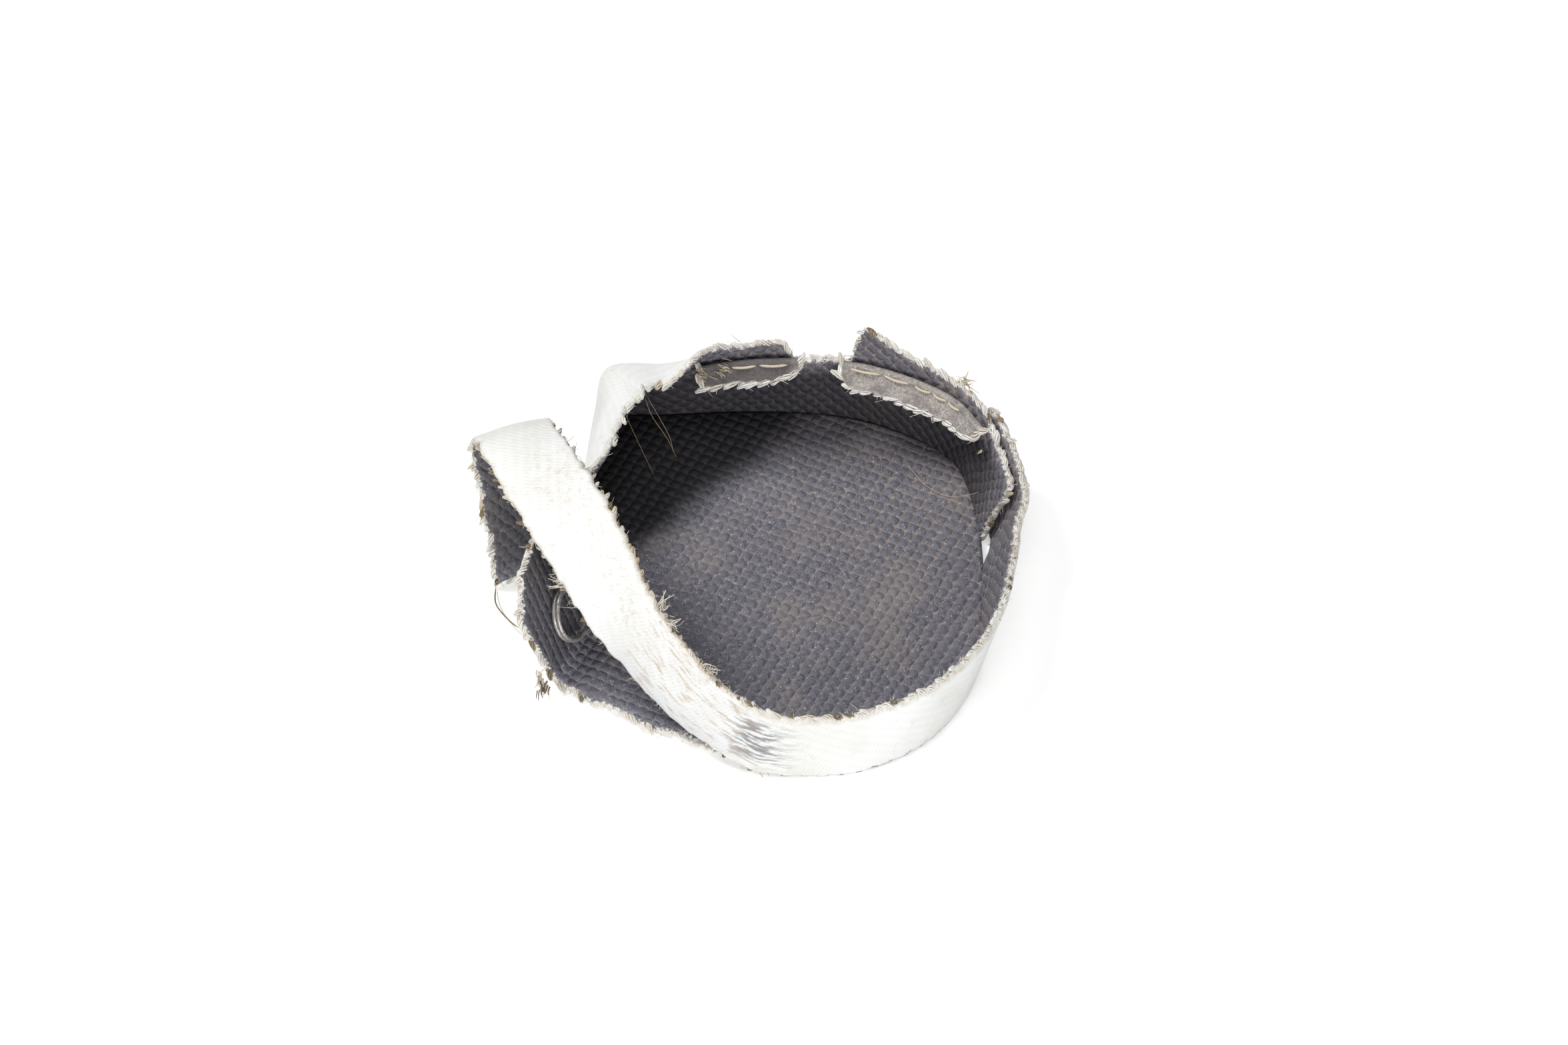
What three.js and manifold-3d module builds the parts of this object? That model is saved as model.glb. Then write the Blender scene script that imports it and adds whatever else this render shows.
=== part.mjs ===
// Throttle body heat shield: a small sewn cup of coated woven glass cloth, worn and torn open.
// Millimetres, +Z up. The origin is the middle of the floor panel's underside, on the table.
// The cup opens upwards. On its left, at -X, the floor panel runs on as a tongue that curls up,
// and the wall's band lifts off, twists, crosses over the tongue as a strap and doubles back.

import * as THREE from "three";
import { mergeVertices } from "three/addons/utils/BufferGeometryUtils.js";
import Module from "manifold-3d";

const { Vector2, Vector3 } = THREE;
const DEG = Math.PI / 180;

// Cloth and seams
const CLOTH = 1.2; // thickness of the coated glass cloth
const SEAM_GAP = 0.3; // clearance between two layers that touch
const LAYER = CLOTH + SEAM_GAP; // step from one layer to the next

// Foot of the wall, outside: a superellipse with two corners pulled out
const CUP_WIDTH = 48.2;
const CUP_DEPTH = 55.8;
const CUP_SQUARENESS = 2.5; // 2 is an ellipse, more is boxier
const CORNERS = [
  // degrees from +X, how far the corner stands out, its half width in degrees
  { angle: 127, bulge: 5.7, spread: 10 },
  { angle: 42, bulge: 1.5, spread: 13 },
];

// Wall band, from the lap at the right back, round the front, to the torn tail
const BAND_WIDTH = 9.9;
const STRAP_WIDTH = 9.2; // the same band where its edges have frayed away
const BAND_START = 40; // degrees, where the band laps over the back wall
const BAND_LIFT = -88; // degrees, where the band leaves the floor panel
const LAP_FADE = 14; // degrees over which the lapped band steps out
const BAND_LEAN = [
  // degrees round the cup, outward lean in degrees
  [BAND_LIFT, 0],
  [-60, 4],
  [-38, 11],
  [-12, 19],
  [8, 23],
  [31, 17],
  [BAND_START, 12],
];

// Strap, tail and the fold between them
const CREST = new Vector3(-29.3, 5.9, 19.6); // middle of the band at the top of the fold
const CREST_TURN = 21; // degrees, the fold line's turn from +X
const CREST_CLIMB = 15; // degrees, climb of the strap as it reaches the fold
const FOLD_RADIUS = 2.2; // middle of the cloth
const TAIL_BACKFOLD = 18; // degrees past plumb by which the tail hangs back under the strap
const TAIL_CLEAR = 0.4; // cut end of the tail above the table
const TAIL_TWIST = 8; // degrees by which the tail's end turns further
const STRAP_ROUTE = [
  // share of the way from lift to fold, sideways offset, share of the rise, roll in degrees
  { along: 0.06, aside: 2.0, rise: 0.03, roll: 2 },
  { along: 0.17, aside: 3.6, rise: 0.12, roll: 6 },
  { along: 0.32, aside: 4.4, rise: 0.28, roll: 14 },
  { along: 0.5, aside: 4.2, rise: 0.51, roll: 30 },
  { along: 0.72, aside: 2.2, rise: 0.79, roll: 60 },
];

// Back wall: a wider strip, sewn along a line, with a margin above the seam
const SEAM_HEIGHT = 9.4; // seam line above the foot, along the cloth
const SEAM_SOFTNESS = 4; // length of cloth over which the wall bends at the seam line
const BACK_WALL = [
  // degrees round the cup, outward lean below and above the seam, margin above the seam
  { angle: 18, lower: 21, upper: 21, margin: 0.2 },
  { angle: 31, lower: 17, upper: 17, margin: 0.3 },
  { angle: 37, lower: 12, upper: 10, margin: 4.4 },
  { angle: 55, lower: 5, upper: 3, margin: 4.8 },
  { angle: 70, lower: 2, upper: 0, margin: 4.9 },
  { angle: 74, lower: 1, upper: 0, margin: 0.4 },
  { angle: 86, lower: 0, upper: -4, margin: 0.3 },
  { angle: 88, lower: 0, upper: -6, margin: 3.2 },
  { angle: 100, lower: -2, upper: -12, margin: 3.4 },
  { angle: 107, lower: -3, upper: -24, margin: 4.0 },
  { angle: 118, lower: -3, upper: -72, margin: 5.4 },
  { angle: 128, lower: -5, upper: -76, margin: 7.0 },
  { angle: 138, lower: -13, upper: -60, margin: 3.2 },
  { angle: 150, lower: -14, upper: -43, margin: 2.2 },
  { angle: 162, lower: -8, upper: -12, margin: 1.5 },
];

// Seam strips: what is left of the inner facing, hanging from the seam line
const STRIP_RISE = 0.7; // height of the strip's top edge above the seam line
const STRIP_SEWN = 0.9; // part of the width that lies along the wall
const STRIP_DROOP = 46; // degrees from plumb at which the rest hangs inwards
const STRIP_RIGHT = { first: 35, last: 76, width: 3.4 }; // first and last in degrees
const STRIP_LEFT = { first: 84, last: 108, width: 2.7 };

// Tongue: the floor panel runs out under the strap and curls up into an end wall
const TONGUE_MOUTH = -90; // degrees, where the tongue's front edge leaves the wall
const TONGUE_REACH = 20.3; // middle of the crease from the cup's centre
const TONGUE_BACKSET = 7.4; // middle of the crease in front of the cup's centre
const TONGUE_WIDTH = 17; // along the crease
const TONGUE_TURN = 20; // degrees, the crease's turn from +Y
const TONGUE_SLOPE = 66; // degrees, the curled end's rise from the table
const TONGUE_BEND = 2.6; // radius of the curl, middle of the cloth
const PANEL_END = 166; // degrees, where the panel's edge turns into the tongue's back edge
const TONGUE_ROOT = 4; // flat cloth shared with the panel in front of the crease
const TONGUE_EDGE_SWELL = 1.8; // how far the front edge's control point stands out
const TONGUE_RISE = [
  // share of the crease from front to back, height of the cut end
  [0, 10.0],
  [0.3, 13.6],
  [0.65, 13.8],
  [1, 12.4],
];

// Split ring that lies against the curled end
const RING_DIAMETER = 6.5; // outside
const WIRE = 0.5;
const RING_TURNS = 1.75;
const RING_PITCH = 0.6; // from turn to turn
const RING_ALONG = 0.37; // share of the crease at which it lies

// Facets
const BAND_STEPS = 84;
const BACK_STEP = 2; // degrees
const PANEL_STEP = 3; // degrees
const ACROSS_STEPS = 6;
const RING_STEPS_PER_TURN = 32;
const WIRE_SIDES = 10;

const clamp01 = (value) => Math.min(1, Math.max(0, value));
const smooth = (value) => {
  const t = clamp01(value);
  return t * t * (3 - 2 * t);
};

// Value at x on a smooth line through [x, value] pairs in rising order of x. Between two pairs
// it neither overshoots nor ripples: the slope at a pair is the harmonic mean of its two sides.
function along(pairs, x) {
  const last = pairs.length - 1;
  if (x <= pairs[0][0]) return pairs[0][1];
  if (x >= pairs[last][0]) return pairs[last][1];
  const next = pairs.findIndex((pair) => pair[0] >= x);
  const rate = (i) => (pairs[i][1] - pairs[i - 1][1]) / (pairs[i][0] - pairs[i - 1][0]);
  const slope = (i) => {
    if (i === 0 || i === last) return rate(Math.max(i, 1));
    const product = rate(i) * rate(i + 1);
    return product <= 0 ? 0 : (2 * product) / (rate(i) + rate(i + 1));
  };
  const [x0, y0] = pairs[next - 1];
  const [x1, y1] = pairs[next];
  const step = x1 - x0;
  const t = (x - x0) / step;
  const rise = t * t * (3 - 2 * t);
  const swell = slope(next - 1) * t * (1 - t) * (1 - t) - slope(next) * t * t * (1 - t);
  return y0 + (y1 - y0) * rise + swell * step;
}

const wallTable = (key) => BACK_WALL.map((station) => [station.angle, station[key]]);
const LOWER_LEAN = wallTable("lower");
const UPPER_LEAN = wallTable("upper");
const MARGIN = wallTable("margin");

// Foot outline

function footRadius(degrees) {
  const x = Math.abs(Math.cos(degrees * DEG)) / (CUP_WIDTH / 2);
  const y = Math.abs(Math.sin(degrees * DEG)) / (CUP_DEPTH / 2);
  const round = (x ** CUP_SQUARENESS + y ** CUP_SQUARENESS) ** (-1 / CUP_SQUARENESS);
  return CORNERS.reduce(
    (radius, { angle, bulge, spread }) => radius + bulge / (1 + ((degrees - angle) / spread) ** 2),
    round,
  );
}

function outlinePoint(degrees) {
  const radius = footRadius(degrees);
  return new Vector2(radius * Math.cos(degrees * DEG), radius * Math.sin(degrees * DEG));
}

// Point of the outline moved inwards, square to it, with the outward direction there.
function footPoint(degrees, inset) {
  const behind = outlinePoint(degrees - 1);
  const ahead = outlinePoint(degrees + 1);
  const outward = new Vector2(ahead.y - behind.y, behind.x - ahead.x).normalize();
  return { at: outlinePoint(degrees).addScaledVector(outward, -inset), outward };
}

// Cloth bodies

// A sheet of cloth round the middle surface point(u, v), with u and v from 0 to 1. Its face
// looks along du x dv. Nothing of it reaches below the table.
function clothGeometry(point, stepsU, stepsV, thickness = CLOTH) {
  const nudge = 1e-3;
  const rows = stepsV + 1;
  const count = (stepsU + 1) * rows;
  const positions = new Float32Array(count * 6);
  for (let i = 0; i <= stepsU; i += 1) {
    for (let j = 0; j <= stepsV; j += 1) {
      const u = i / stepsU;
      const v = j / stepsV;
      const du = point(Math.min(u + nudge, 1), v).sub(point(Math.max(u - nudge, 0), v));
      const dv = point(u, Math.min(v + nudge, 1)).sub(point(u, Math.max(v - nudge, 0)));
      const half = du.cross(dv).setLength(thickness / 2);
      const middle = point(u, v);
      const index = i * rows + j;
      [middle.clone().add(half), middle.clone().sub(half)].forEach((corner, face) => {
        corner.z = Math.max(corner.z, 0);
        corner.toArray(positions, (index + face * count) * 3);
      });
    }
  }
  const faces = [];
  const quad = (a, b, c, d) => faces.push(a, b, c, a, c, d);
  for (let i = 0; i < stepsU; i += 1) {
    for (let j = 0; j < stepsV; j += 1) {
      const a = i * rows + j;
      const b = a + rows;
      quad(a, b, b + 1, a + 1);
      quad(a + count, a + 1 + count, b + 1 + count, b + count);
    }
  }
  for (let i = 0; i < stepsU; i += 1) {
    const a = i * rows;
    const b = a + rows;
    quad(a + count, b + count, b, a);
    const top = stepsV;
    quad(a + top, b + top, b + top + count, a + top + count);
  }
  for (let j = 0; j < stepsV; j += 1) {
    quad(j, j + 1, j + 1 + count, j + count);
    const end = stepsU * rows + j;
    quad(end + count, end + 1 + count, end + 1, end);
  }
  const geometry = new THREE.BufferGeometry();
  geometry.setAttribute("position", new THREE.BufferAttribute(positions, 3));
  geometry.setIndex(faces);
  geometry.computeVertexNormals();
  return geometry;
}

const wasm = await Module();
wasm.setup();

function toSolid(geometry) {
  const bare = geometry.clone();
  bare.deleteAttribute("normal");
  bare.deleteAttribute("uv");
  const merged = mergeVertices(bare, 1e-4);
  const vertProperties = new Float32Array(merged.attributes.position.array);
  const triVerts = new Uint32Array(merged.index.array);
  return new wasm.Manifold(new wasm.Mesh({ numProp: 3, vertProperties, triVerts }));
}

function toGeometry(solid) {
  const { vertProperties, triVerts } = solid.getMesh();
  const geometry = new THREE.BufferGeometry();
  geometry.setAttribute("position", new THREE.BufferAttribute(vertProperties, 3));
  geometry.setIndex(new THREE.BufferAttribute(triVerts, 1));
  geometry.computeVertexNormals();
  return geometry;
}

// Floor panel with its tongue

const creaseTurn = TONGUE_TURN * DEG;
const creaseRun = new Vector2(Math.sin(creaseTurn), Math.cos(creaseTurn));
const creaseOut = new Vector2(-Math.cos(creaseTurn), Math.sin(creaseTurn));
const creaseMiddle = new Vector2(-TONGUE_REACH, -TONGUE_BACKSET);

const creasePoint = (share) =>
  creaseMiddle.clone().addScaledVector(creaseRun, (share - 0.5) * TONGUE_WIDTH);

// Edge of the flat panel, just inside the wall even where the wall leans in over it.
function panelEdge(angle) {
  const lean = angle > 90 ? along(LOWER_LEAN, angle) : 0;
  return footPoint(angle, LAYER + CLOTH * Math.tan(Math.max(0, -lean) * DEG)).at;
}

function panelShape() {
  const shape = new THREE.Shape();
  const mouth = panelEdge(TONGUE_MOUTH);
  shape.moveTo(mouth.x, mouth.y);
  const facets = Math.round((PANEL_END - TONGUE_MOUTH) / PANEL_STEP);
  for (let i = 1; i <= facets; i += 1) {
    const at = panelEdge(TONGUE_MOUTH + ((PANEL_END - TONGUE_MOUTH) * i) / facets);
    shape.lineTo(at.x, at.y);
  }
  const back = creasePoint(1);
  const front = creasePoint(0);
  shape.lineTo(back.x, back.y);
  shape.lineTo(front.x, front.y);
  const run = mouth.clone().sub(front);
  const aside = new Vector2(run.y, -run.x).setLength(TONGUE_EDGE_SWELL);
  const control = front.clone().addScaledVector(run, 0.4).add(aside);
  shape.quadraticCurveTo(control.x, control.y, mouth.x, mouth.y);
  return shape;
}

// The curled end: flat root, bend, then a straight slope up to the cut end.
function tonguePoint(u, v) {
  const slope = TONGUE_SLOPE * DEG;
  const bend = TONGUE_BEND * slope;
  const bentHeight = TONGUE_BEND * (1 - Math.cos(slope));
  const straight = (along(TONGUE_RISE, v) - CLOTH / 2 - bentHeight) / Math.sin(slope);
  const length = TONGUE_ROOT + bend + straight;
  const run = u * length - TONGUE_ROOT;
  const turned = Math.min(Math.max(run, 0), bend) / TONGUE_BEND;
  const beyond = Math.max(run - bend, 0);
  const out = Math.min(run, 0) + TONGUE_BEND * Math.sin(turned) + beyond * Math.cos(slope);
  const up = TONGUE_BEND * (1 - Math.cos(turned)) + beyond * Math.sin(slope);
  const at = creasePoint(v).addScaledVector(creaseOut, out);
  return new Vector3(at.x, at.y, CLOTH / 2 + up);
}

function floorPanelGeometry() {
  const flat = new THREE.ExtrudeGeometry(panelShape(), {
    depth: CLOTH,
    bevelEnabled: false,
    curveSegments: 12,
  });
  const curl = clothGeometry((u, v) => tonguePoint(u, 1 - v), 14, 8);
  return toGeometry(toSolid(flat).add(toSolid(curl)));
}

// Wall band, strap and tail

// Direction across the band, lower edge to upper edge, where it runs along tangent.
function acrossBand(tangent, roll) {
  const outward = new Vector3(0, 0, 1).cross(tangent).normalize();
  const up = tangent.clone().cross(outward).normalize();
  return up.multiplyScalar(Math.cos(roll * DEG)).addScaledVector(outward, -Math.sin(roll * DEG));
}

function wallStations() {
  const stations = [];
  const turns = 32;
  for (let i = 0; i <= turns; i += 1) {
    const angle = BAND_START + ((BAND_LIFT - BAND_START) * i) / turns;
    const lap = LAYER * smooth((angle - BACK_WALL[0].angle) / LAP_FADE + 1);
    const { at, outward } = footPoint(angle, CLOTH / 2 - lap);
    const lean = along(BAND_LEAN, angle) * DEG;
    const out = outward.multiplyScalar(Math.sin(lean));
    const across = new Vector3(out.x, out.y, Math.cos(lean));
    const centre = new Vector3(at.x, at.y, 0).addScaledVector(across, BAND_WIDTH / 2);
    stations.push({ centre, across, width: BAND_WIDTH });
  }
  return stations;
}

const foldLine = new Vector3(Math.cos(CREST_TURN * DEG), Math.sin(CREST_TURN * DEG), 0);
const foldRun = new Vector3(-foldLine.y, foldLine.x, 0);

// The band's heading when it points at pitch degrees above the table beside the fold.
const foldHeading = (pitch) =>
  foldRun
    .clone()
    .multiplyScalar(Math.cos(pitch * DEG))
    .add(new Vector3(0, 0, Math.sin(pitch * DEG)));

function foldStations() {
  const axis = CREST.clone().add(new Vector3(0, 0, -FOLD_RADIUS));
  const plumb = -90 - TAIL_BACKFOLD;
  const stations = [];
  const steps = 5;
  for (let i = 0; i <= steps; i += 1) {
    const pitch = CREST_CLIMB + ((plumb - CREST_CLIMB) * i) / steps;
    const centre = axis.clone().addScaledVector(foldHeading(pitch + 90), FOLD_RADIUS);
    stations.push({ centre, across: foldLine.clone(), width: STRAP_WIDTH });
  }
  const top = stations[steps].centre;
  const heading = foldHeading(plumb);
  const length = (top.z - TAIL_CLEAR) / -heading.z;
  for (const share of [0.35, 0.7, 1]) {
    const across = foldLine.clone().applyAxisAngle(heading, -TAIL_TWIST * DEG * share);
    const centre = top.clone().addScaledVector(heading, length * share);
    stations.push({ centre, across, width: STRAP_WIDTH });
  }
  return stations;
}

function strapStations(from, to) {
  const run = to.clone().sub(from);
  const aside = new Vector3(-run.y, run.x, 0).normalize();
  const centres = STRAP_ROUTE.map((station) => {
    const centre = from.clone().addScaledVector(run, station.along);
    centre.addScaledVector(aside, station.aside);
    centre.z = from.z + run.z * station.rise;
    return centre;
  });
  const points = [from, ...centres, to];
  return STRAP_ROUTE.map((station, i) => {
    const tangent = points[i + 2].clone().sub(points[i]).normalize();
    const width = BAND_WIDTH + (STRAP_WIDTH - BAND_WIDTH) * station.along;
    return { centre: centres[i], across: acrossBand(tangent, station.roll), width };
  });
}

function wallBandGeometry() {
  const wall = wallStations();
  const fold = foldStations();
  const strap = strapStations(wall[wall.length - 1].centre, fold[0].centre);
  const stations = [...wall, ...strap, ...fold];
  const edge = (side) => {
    const points = stations.map(({ centre, across, width }) =>
      centre.clone().addScaledVector(across, (side * width) / 2),
    );
    return new THREE.CatmullRomCurve3(points, false, "centripetal");
  };
  const lower = edge(-1);
  const upper = edge(1);
  const point = (u, v) => lower.getPoint(u).lerp(upper.getPoint(u), 1 - v);
  return clothGeometry(point, BAND_STEPS, ACROSS_STEPS);
}

// Back wall and the seam strips

// Point of the back wall's middle surface, run millimetres up the cloth from its foot. Below
// the seam line the wall leans square to its foot, above it towards the cup's centre.
function backWallPoint(angle, run, inset) {
  const { at, outward } = footPoint(angle, CLOTH / 2 + inset);
  const lower = along(LOWER_LEAN, angle);
  const upper = along(UPPER_LEAN, angle);
  const radial = new Vector2(Math.cos(angle * DEG), Math.sin(angle * DEG));
  const pieces = 16;
  const step = run / pieces;
  const place = new Vector3(at.x, at.y, 0);
  for (let k = 0; k < pieces; k += 1) {
    const bent = smooth((step * (k + 0.5) - SEAM_HEIGHT) / SEAM_SOFTNESS + 0.5);
    const lean = (lower + (upper - lower) * bent) * DEG;
    const heading = outward.clone().lerp(radial, bent).normalize();
    place.x += heading.x * Math.sin(lean) * step;
    place.y += heading.y * Math.sin(lean) * step;
    place.z += Math.cos(lean) * step;
  }
  return place;
}

function backWallGeometry() {
  const first = BACK_WALL[0].angle;
  const last = BACK_WALL[BACK_WALL.length - 1].angle;
  const point = (u, v) => {
    const angle = first + (last - first) * u;
    return backWallPoint(angle, (SEAM_HEIGHT + along(MARGIN, angle)) * v, 0);
  };
  return clothGeometry(point, Math.round((last - first) / BACK_STEP), ACROSS_STEPS + 3);
}

// A strip sewn inside the seam line, which leaves the wall and hangs into the cup.
function seamStripGeometry({ first, last, width }) {
  const point = (u, v) => {
    const angle = first + (last - first) * u;
    const top = backWallPoint(angle, SEAM_HEIGHT + STRIP_RISE, LAYER);
    const { outward } = footPoint(angle, 0);
    const lean = along(LOWER_LEAN, angle);
    const run = width * (1 - v);
    const pieces = 10;
    for (let k = 0; k < pieces; k += 1) {
      const here = (run * (k + 0.5)) / pieces;
      const drooped = smooth((here - STRIP_SEWN / 2) / STRIP_SEWN);
      const heading = (lean + (STRIP_DROOP - lean) * drooped) * DEG;
      const step = run / pieces;
      top.x -= outward.x * Math.sin(heading) * step;
      top.y -= outward.y * Math.sin(heading) * step;
      top.z -= Math.cos(heading) * step;
    }
    return top;
  };
  return clothGeometry(point, Math.round((last - first) / BACK_STEP), ACROSS_STEPS);
}

// Split ring

class RingPath extends THREE.Curve {
  getPoint(t, target = new Vector3()) {
    const turn = RING_TURNS * t;
    const radius = (RING_DIAMETER - WIRE) / 2;
    const angle = turn * 2 * Math.PI;
    const lift = (turn - RING_TURNS / 2) * RING_PITCH;
    return target.set(radius * Math.cos(angle), radius * Math.sin(angle), lift);
  }
}

function ringGeometry() {
  const section = new THREE.Shape();
  section.absarc(0, 0, WIRE / 2, 0, 2 * Math.PI, false);
  return new THREE.ExtrudeGeometry(section, {
    extrudePath: new RingPath(),
    steps: Math.round(RING_TURNS * RING_STEPS_PER_TURN),
    curveSegments: WIRE_SIDES / 2,
    bevelEnabled: false,
  });
}

// Where the ring lies: flat against the slope of the tongue, just clear of its bend.
function placeRing(mesh) {
  const slope = TONGUE_SLOPE * DEG;
  const clear = CLOTH / 2 + SEAM_GAP + (RING_TURNS * RING_PITCH + WIRE) / 2;
  const low = RING_DIAMETER / 2 + SEAM_GAP + TONGUE_BEND * Math.tan(slope / 2);
  const at = creasePoint(RING_ALONG).addScaledVector(creaseOut, TONGUE_BEND * Math.tan(slope / 2));
  const facing = new Vector3(-creaseOut.x, -creaseOut.y, 0).multiplyScalar(Math.sin(slope));
  facing.z = Math.cos(slope);
  const upslope = new Vector3(creaseOut.x, creaseOut.y, 0).multiplyScalar(Math.cos(slope));
  upslope.z = Math.sin(slope);
  mesh.position.set(at.x, at.y, CLOTH / 2);
  mesh.position.addScaledVector(facing, clear).addScaledVector(upslope, low);
  mesh.quaternion.setFromUnitVectors(new Vector3(0, 0, 1), facing);
}

// Finishes

const finish = (color, roughness, metalness = 0) =>
  new THREE.MeshStandardMaterial({ color, roughness, metalness });

const DARK_CLOTH = finish(0x6b686f, 0.9);
const PALE_CLOTH = finish(0xf2f1ee, 0.75);
const WORN_CLOTH = finish(0x9d958f, 0.95);
const STEEL = finish(0x8f8c8a, 0.35, 1);

const shield = new THREE.Group();

function addPiece(name, geometry, material) {
  const mesh = new THREE.Mesh(geometry, material);
  mesh.name = name;
  shield.add(mesh);
  return mesh;
}

addPiece("floor_panel", floorPanelGeometry(), DARK_CLOTH);
addPiece("wall_band", wallBandGeometry(), PALE_CLOTH);
addPiece("back_wall", backWallGeometry(), PALE_CLOTH);
addPiece("seam_strip_right", seamStripGeometry(STRIP_RIGHT), WORN_CLOTH);
addPiece("seam_strip_left", seamStripGeometry(STRIP_LEFT), WORN_CLOTH);
placeRing(addPiece("split_ring", ringGeometry(), STEEL));

export default shield;
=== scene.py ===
"""Throttle body heat shield: a worn sewn cup of coated woven glass cloth, dressed and lit.

Sizes are millimetres in the part's own frame, +Z up, with the origin under the middle of
the floor panel. Meshes are turned to metres as they are made. The cloth is dark on its
inner face and white on its outer one, and every cut edge has frayed.
"""

import logging
import math
from dataclasses import dataclass, field, replace
from enum import Enum

import bmesh
import bpy
import numpy as np
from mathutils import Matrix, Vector

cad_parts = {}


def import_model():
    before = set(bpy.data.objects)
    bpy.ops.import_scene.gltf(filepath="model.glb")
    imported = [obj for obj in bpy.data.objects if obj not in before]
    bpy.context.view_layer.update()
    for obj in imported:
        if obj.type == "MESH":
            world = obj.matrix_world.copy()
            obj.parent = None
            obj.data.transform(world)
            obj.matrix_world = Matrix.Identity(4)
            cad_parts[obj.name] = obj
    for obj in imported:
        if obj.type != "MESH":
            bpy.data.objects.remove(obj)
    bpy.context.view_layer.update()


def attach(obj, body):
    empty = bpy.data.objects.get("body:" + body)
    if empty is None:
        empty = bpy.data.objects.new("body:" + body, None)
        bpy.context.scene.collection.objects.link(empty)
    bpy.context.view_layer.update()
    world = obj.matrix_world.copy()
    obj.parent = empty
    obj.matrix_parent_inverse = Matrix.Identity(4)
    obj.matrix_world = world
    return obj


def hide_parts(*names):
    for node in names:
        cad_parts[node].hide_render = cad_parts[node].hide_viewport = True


logging.basicConfig(level=logging.INFO, format="%(message)s")
log = logging.getLogger("heat_shield")

Array = np.ndarray
Pairs = tuple[tuple[float, float], ...]
Material = bpy.types.Material
Piece = bpy.types.Object
Socket = bpy.types.NodeSocket
Source = Socket | float
Tubes = tuple[Array, Array, Array]
Span = tuple[float, float]

MM = 0.001
SEED = 20

CLOTH = 1.2
SEAM_GAP = 0.3
LAYER = CLOTH + SEAM_GAP
YARN = 1.25

LATTICE = 256

RIM = 0.55
RIM_STEPS = 5
UNFRAYED = CLOTH * 4
CLIMB_STEPS = 60
DOME = 0.7
LOW_YARN = 0.85


def unit(vectors: Array) -> Array:
    """Each vector along the last axis divided by its length."""
    return vectors / np.maximum(np.linalg.norm(vectors, axis=-1, keepdims=True), 1e-12)


def smooth(x: Array) -> Array:
    """t * t * (3 - 2 * t), with t = x held between 0 and 1."""
    t = np.clip(x, 0.0, 1.0)
    return t * t * (3 - 2 * t)


def along(pairs: Pairs, x: Array) -> Array:
    """Smooth line through (x, value) pairs that neither overshoots nor ripples.

    Cubic Hermite pieces, y = y0 + dy * t^2 (3 - 2t) + h (m0 t (1 - t)^2 - m1 t^2 (1 - t)),
    whose slope m at a pair is the harmonic mean of the rates on its two sides.

    Args:
        pairs: the line's points in rising order of x.
        x: where it is wanted; past the ends the end value holds.

    Returns:
        The line's values at x.
    """
    knots, values = np.array(pairs, float).T
    steps = np.diff(knots)
    rates = np.diff(values) / steps
    product = rates[:-1] * rates[1:]
    total = np.where(product > 0, rates[:-1] + rates[1:], 1.0)
    inner = np.where(product > 0, 2 * product / total, 0.0)
    slopes = np.concatenate([rates[:1], inner, rates[-1:]])
    held = np.clip(x, knots[0], knots[-1])
    i = np.clip(np.searchsorted(knots, held) - 1, 0, len(steps) - 1)
    t = (held - knots[i]) / steps[i]
    rise = (values[i + 1] - values[i]) * t * t * (3 - 2 * t)
    swell = slopes[i] * t * (1 - t) ** 2 - slopes[i + 1] * t * t * (1 - t)
    return values[i] + rise + swell * steps[i]


def centripetal(points: Array, t: Array) -> Array:
    """Centripetal Catmull-Rom curve through the points.

    Between p1 and p2 it is c0 + c1 w + c2 w^2 + c3 w^3, with tangents from the divided
    differences over knot steps |p - q|^(1/2).

    Args:
        points: the points, one row each.
        t: 0 at the first point and 1 at the last, even from point to point.

    Returns:
        One row for each value of t.
    """
    before = 2 * points[0] - points[1]
    after = 2 * points[-1] - points[-2]
    padded = np.vstack([before, points, after])
    position = np.clip(t, 0, 1) * (len(points) - 1)
    i = np.minimum(position.astype(int), len(points) - 2)
    w = (position - i)[:, None]
    p0, p1, p2, p3 = (padded[i + k] for k in range(4))
    d0, d1, d2 = (
        np.sqrt(np.linalg.norm(b - a, axis=1, keepdims=True)) for a, b in ((p0, p1), (p1, p2), (p2, p3))
    )
    m1 = ((p1 - p0) / d0 - (p2 - p0) / (d0 + d1) + (p2 - p1) / d1) * d1
    m2 = ((p2 - p1) / d1 - (p3 - p1) / (d1 + d2) + (p3 - p2) / d2) * d1
    c2 = 3 * (p2 - p1) - 2 * m1 - m2
    c3 = 2 * (p1 - p2) + m1 + m2
    return p1 + w * (m1 + w * (c2 + w * c3))


class SoftNoise:
    """Seeded smooth noise on a lattice of random numbers, from -1 to 1."""

    def __init__(self, seed: int) -> None:
        """Fills the lattice."""
        self.table = np.random.default_rng(seed).uniform(-1, 1, (LATTICE, LATTICE))

    def at(self, x: Array, y: Array | float = 0.0) -> Array:
        """Bilinear in smoothstep of the place between four lattice points.

        Args:
            x: first coordinate, in lattice steps.
            y: second coordinate, in lattice steps.

        Returns:
            The noise there.
        """
        x, y = np.broadcast_arrays(np.asarray(x, float), np.asarray(y, float))
        i, j = np.floor(x).astype(int), np.floor(y).astype(int)
        u, v = smooth(x - i), smooth(y - j)
        near, far = (
            self.table[i % LATTICE, (j + k) % LATTICE] * (1 - u)
            + self.table[(i + 1) % LATTICE, (j + k) % LATTICE] * u
            for k in (0, 1)
        )
        return near * (1 - v) + far * v


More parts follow.
